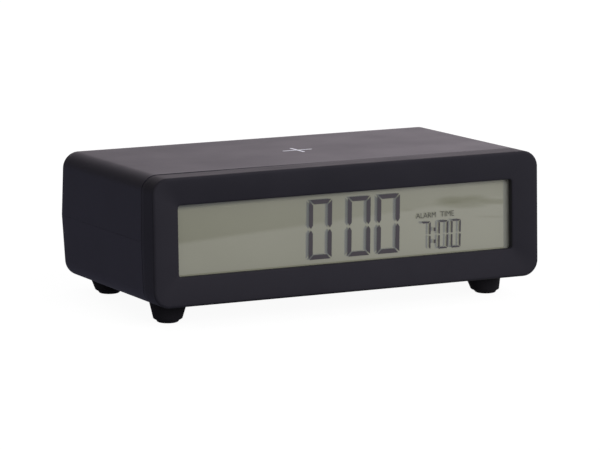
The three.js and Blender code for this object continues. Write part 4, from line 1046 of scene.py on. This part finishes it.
# %% Circuit board and cell
BAND_PERIOD, BAND_START = 0.0508, 0.032
board_green, tree, shader = new_material("board_green", Roughness=0.35)
place = add_node(tree, "ShaderNodeTexCoord").outputs["Object"]
tracks = add_node(tree, "ShaderNodeTexBrick", {
    "Vector": place, "Scale": 260.0, "Mortar Size": 0.02, "Color1": screen_colour(38, 92, 58),
    "Color2": screen_colour(44, 104, 66), "Mortar": screen_colour(70, 128, 84)})
tree.links.new(tracks.outputs["Color"], shader.inputs["Base Color"])

cell_wrap, tree, shader = new_material("cell_wrap", Roughness=0.3, Coat_Weight=0.5)
place = add_node(tree, "ShaderNodeTexCoord").outputs["Object"]
along = add_node(tree, "ShaderNodeSeparateXYZ", {"Vector": place}).outputs["X"]
bands = add_node(tree, "ShaderNodeValToRGB", {"Fac": reckon(tree, "PINGPONG", along, BAND_PERIOD)})
bands.color_ramp.interpolation = "CONSTANT"
first, second = bands.color_ramp.elements
first.color = screen_colour(46, 60, 78)
second.position, second.color = BAND_START, screen_colour(186, 190, 194)
tree.links.new(bands.outputs["Color"], shader.inputs["Base Color"])

# %% Finishes for the inner parts
inner_parts = (
    (grained("white_plastic", (222, 220, 212), (230, 228, 222), (0.45, 0.55)),
     "reflector_sheet edge_light_left edge_light_right"),
    (grained("inner_plastic", (36, 36, 39), (42, 42, 46), (0.5, 0.6)),
     "display_holder capacitor battery_tray"),
    (grained("clear_guide", (206, 216, 218), (216, 224, 226), (0.15, 0.25), relief=0.003), "light_guide"),
    (grained("contact_rubber", (60, 60, 62), (70, 70, 72), (0.6, 0.7)), "contact_strip"),
    (grained("component_black", (20, 20, 22), (26, 26, 28), (0.35, 0.5)),
     "clock_chip sounder key_switch_1 key_switch_2 key_switch_3 key_switch_4"),
    (screw_steel,
     "quartz_crystal slide_switch battery_spring spring_contact_plate flat_contact_plate board_screw_1 "
     "board_screw_2 holder_screw_1 holder_screw_2 holder_screw_3 holder_screw_4"),
    (grained("copper", (184, 120, 72), (198, 136, 88), (0.3, 0.45), Metallic=1.0), "touch_plate"),
    (grained("lead_red", (160, 34, 26), (172, 42, 32), (0.3, 0.4)), "battery_lead_red"),
    (grained("lead_black", (22, 22, 24), (28, 28, 30), (0.3, 0.4)),
     "battery_lead_black touch_lead sounder_lead"),
    (grained("ribbon", (150, 152, 156), (164, 166, 170), (0.45, 0.55), swirl=400.0), "ribbon_cable"),
    (board_green, "main_board control_board"),
    (cell_wrap, "battery_left battery_right"),
)
for finish, nodes in inner_parts:
    for node_name in nodes.split():
        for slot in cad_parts[node_name].material_slots:
            slot.material = finish
print("inner nodes finished:", sum(len(nodes.split()) for finish, nodes in inner_parts))

# %% [markdown]
# ## Floor, sky and lamps
# The clock stands on a white table. What a dark, satin plastic shows is mostly what it mirrors, so the
# surroundings matter as much as the lamps: a bright backdrop behind and to the right puts the pale sheen
# on the lid, the dark left side of the room keeps the left wall dark, and the table's front edge draws
# the line across the display. The camera itself sees plain white.

# %% White table
FLOOR_HALF = 6
BOUNCE, SHADED_PART, GLOW_PART = 0.24, 0.12, 0.94
TABLE_EDGE, EDGE_BLUR, EDGE_TURN = -0.279, 0.006, (0.36, 0.933, 0)
TONE_SPAN, TABLE_TONES, BEYOND_TONES = (0.04, 0.25), (0.7, 1.08), (0.17, 0.76)
FAR_SPAN, FAR_TONES = (0.27, 0.33), (1.0, 0.35)
NEAR_SPAN, NEAR_TONES, NEAR_FADE = (-0.05, 0.2), (0.02, 0.42), (-0.2, -0.15)
LEFT_SPAN, LEFT_TONE = (-0.02, -0.09), 0.15
MIRROR_TINT, LEFT_TINT = (1, 0.99, 1.02, 1), (1, 0.98, 1.38, 1)
MIRRORED_SPOTS = (((0.2310, -0.3894), (0.0137, 0.0124), (-0.0180, 0.0345), 0.36),
                  ((0.2240, -0.3770), (0.0132, 0.0119), (-0.0098, 0.0190), 0.28),
                  ((0.2310, -0.4015), (0.0075, 0.0068), (-0.0104, 0.0201), 0.30),
                  ((0.2430, -0.3984), (0.0059, 0.0053), (-0.0133, 0.0253), 0.30),
                  ((0.2457, -0.3800), (0.0085, 0.0077), (-0.0092, 0.0175), 0.68),
                  ((0.2097, -0.3191), (0.0072, 0.0063), (-0.0032, 0.0059), 0.3),
                  ((0.1919, -0.3746), (0.0039, 0.0035), (-0.0034, 0.0067), 0.25))


def bare_tree(owner):
    """The node tree of a material or a world, with nothing in it."""
    owner.use_nodes = True
    owner.node_tree.nodes.clear()
    return owner.node_tree


corners = FLOOR_HALF * np.array([(-1, -1, 0), (1, -1, 0), (1, 1, 0), (-1, 1, 0)])
floor = add_mesh("table_top", corners, [(0, 1, 2, 3)])
table_white = bpy.data.materials.new("table_white")
floor.data.materials.append(table_white)
tree = bare_tree(table_white)
ray = add_node(tree, "ShaderNodeLightPath").outputs
whiteness = rise(tree, ray["Is Camera Ray"], 0.0, 1.0, BOUNCE, SHADED_PART)
matt = add_node(tree, "ShaderNodeBsdfDiffuse", {"Color": whiteness}).outputs["BSDF"]
glow = add_node(tree, "ShaderNodeEmission", {
    "Color": (1, 1, 1, 1), "Strength": reckon(tree, "MULTIPLY", ray["Is Camera Ray"], GLOW_PART)})
lit = add_node(tree, "ShaderNodeAddShader", {0: matt, 1: glow.outputs["Emission"]}).outputs["Shader"]

# %% What the clock mirrors of the table
spot = add_node(tree, "ShaderNodeTexCoord").outputs["Object"]
split = add_node(tree, "ShaderNodeSeparateXYZ", {"Vector": spot}).outputs
on_table = rise(tree, dot(tree, spot, EDGE_TURN), TABLE_EDGE - EDGE_BLUR, TABLE_EDGE + EDGE_BLUR)
edge_tone = mix(tree, on_table, *[rise(tree, split["X"], *TONE_SPAN, *tones)
                                  for tones in (BEYOND_TONES, TABLE_TONES)])
far_tone = reckon(tree, "MULTIPLY", edge_tone, rise(tree, split["X"], *FAR_SPAN, *FAR_TONES))
near_tone = rise(tree, split["X"], *NEAR_SPAN, *NEAR_TONES)
front_tone = mix(tree, rise(tree, split["Y"], *NEAR_FADE), far_tone, near_tone)
leftness = rise(tree, split["X"], *LEFT_SPAN)
mirrored = mix(tree, leftness, front_tone, LEFT_TONE)
for centre, half_along, half_across, dark in MIRRORED_SPOTS:
    along, across = np.linalg.inv([half_along, half_across]).T
    mask = use_group(tree, soft_spot, {
        "Place": spot, "Centre": (*centre, 0), "Along": (*along, 0), "Across": (*across, 0)})["Mask"]
    mirrored = reckon(tree, "SUBTRACT", mirrored, reckon(tree, "MULTIPLY", mask, dark))
floor_tint = mix(tree, leftness, MIRROR_TINT, LEFT_TINT, "RGBA")
mirror_light = add_node(tree, "ShaderNodeEmission", {"Color": floor_tint, "Strength": mirrored})
choose = add_node(tree, "ShaderNodeMixShader", {
    0: ray["Is Glossy Ray"], 1: lit, 2: mirror_light.outputs["Emission"]})
add_node(tree, "ShaderNodeOutputMaterial", {"Surface": choose.outputs["Shader"]})
print("table nodes:", len(tree.nodes))

# %% Room
SOFT_LIGHT, WHITE = 0.5, (1, 1, 1, 1)
ROOM_SPAN, ROOM_TONES = (-0.2, 0.45), (0.08, 0.85)
PANEL_START, PANEL_END, PANEL_TONES = (0.4, 0.45), (0.47, 0.53), (0.0, 0.68)
FRONT_SPAN, FRONT_TONES = (0.3, 0.55), (0.3, 0.9)
BEHIND_SPAN = (-0.3, 0.3)
SHEEN_TINT = (1, 0.9, 0.97, 1)

world = bpy.data.worlds.new("studio")
bpy.context.scene.world = world
tree = bare_tree(world)
ray = add_node(tree, "ShaderNodeLightPath").outputs
toward = add_node(tree, "ShaderNodeTexCoord").outputs["Generated"]
split = add_node(tree, "ShaderNodeSeparateXYZ", {"Vector": toward}).outputs
panel = reckon(tree, "SUBTRACT", *[rise(tree, split["X"], *span, *PANEL_TONES)
                                   for span in (PANEL_START, PANEL_END)])
backdrop = reckon(tree, "ADD", rise(tree, split["X"], *ROOM_SPAN, *ROOM_TONES), panel)
front_tone = rise(tree, split["X"], *FRONT_SPAN, *FRONT_TONES)
room_tone = mix(tree, rise(tree, split["Y"], *BEHIND_SPAN), front_tone, backdrop)
lighting = mix(tree, ray["Is Glossy Ray"], SOFT_LIGHT, room_tone)
sky = add_node(tree, "ShaderNodeBackground", {
    "Color": mix(tree, ray["Is Glossy Ray"], WHITE, SHEEN_TINT, "RGBA"),
    "Strength": mix(tree, ray["Is Camera Ray"], lighting, 1.0)})
add_node(tree, "ShaderNodeOutputWorld", {"Surface": sky.outputs["Background"]})
print("room nodes:", len(tree.nodes))

# %% Soft lamps
LAMP_AIM = (0, 0, 0.03)
LAMPS = (("key_lamp", (0.45, -1.7, 0.75), 1.0, 22), ("rear_lamp", (0.1, 1.8, 0.4), 0.8, 12))
for name, place, size, watts in LAMPS:
    lamp = add_object(name, bpy.data.lights.new(name, "AREA"))
    lamp.data.shape, lamp.data.size, lamp.data.energy = "SQUARE", size, watts
    lamp.rotation_euler = (Vector(place) - Vector(LAMP_AIM)).to_track_quat("Z", "Y").to_euler()
    lamp.location = place
    lamp.visible_glossy = False
bpy.context.scene.view_settings.view_transform = "Standard"
print("lamps:", ", ".join(lamp[0] for lamp in LAMPS))
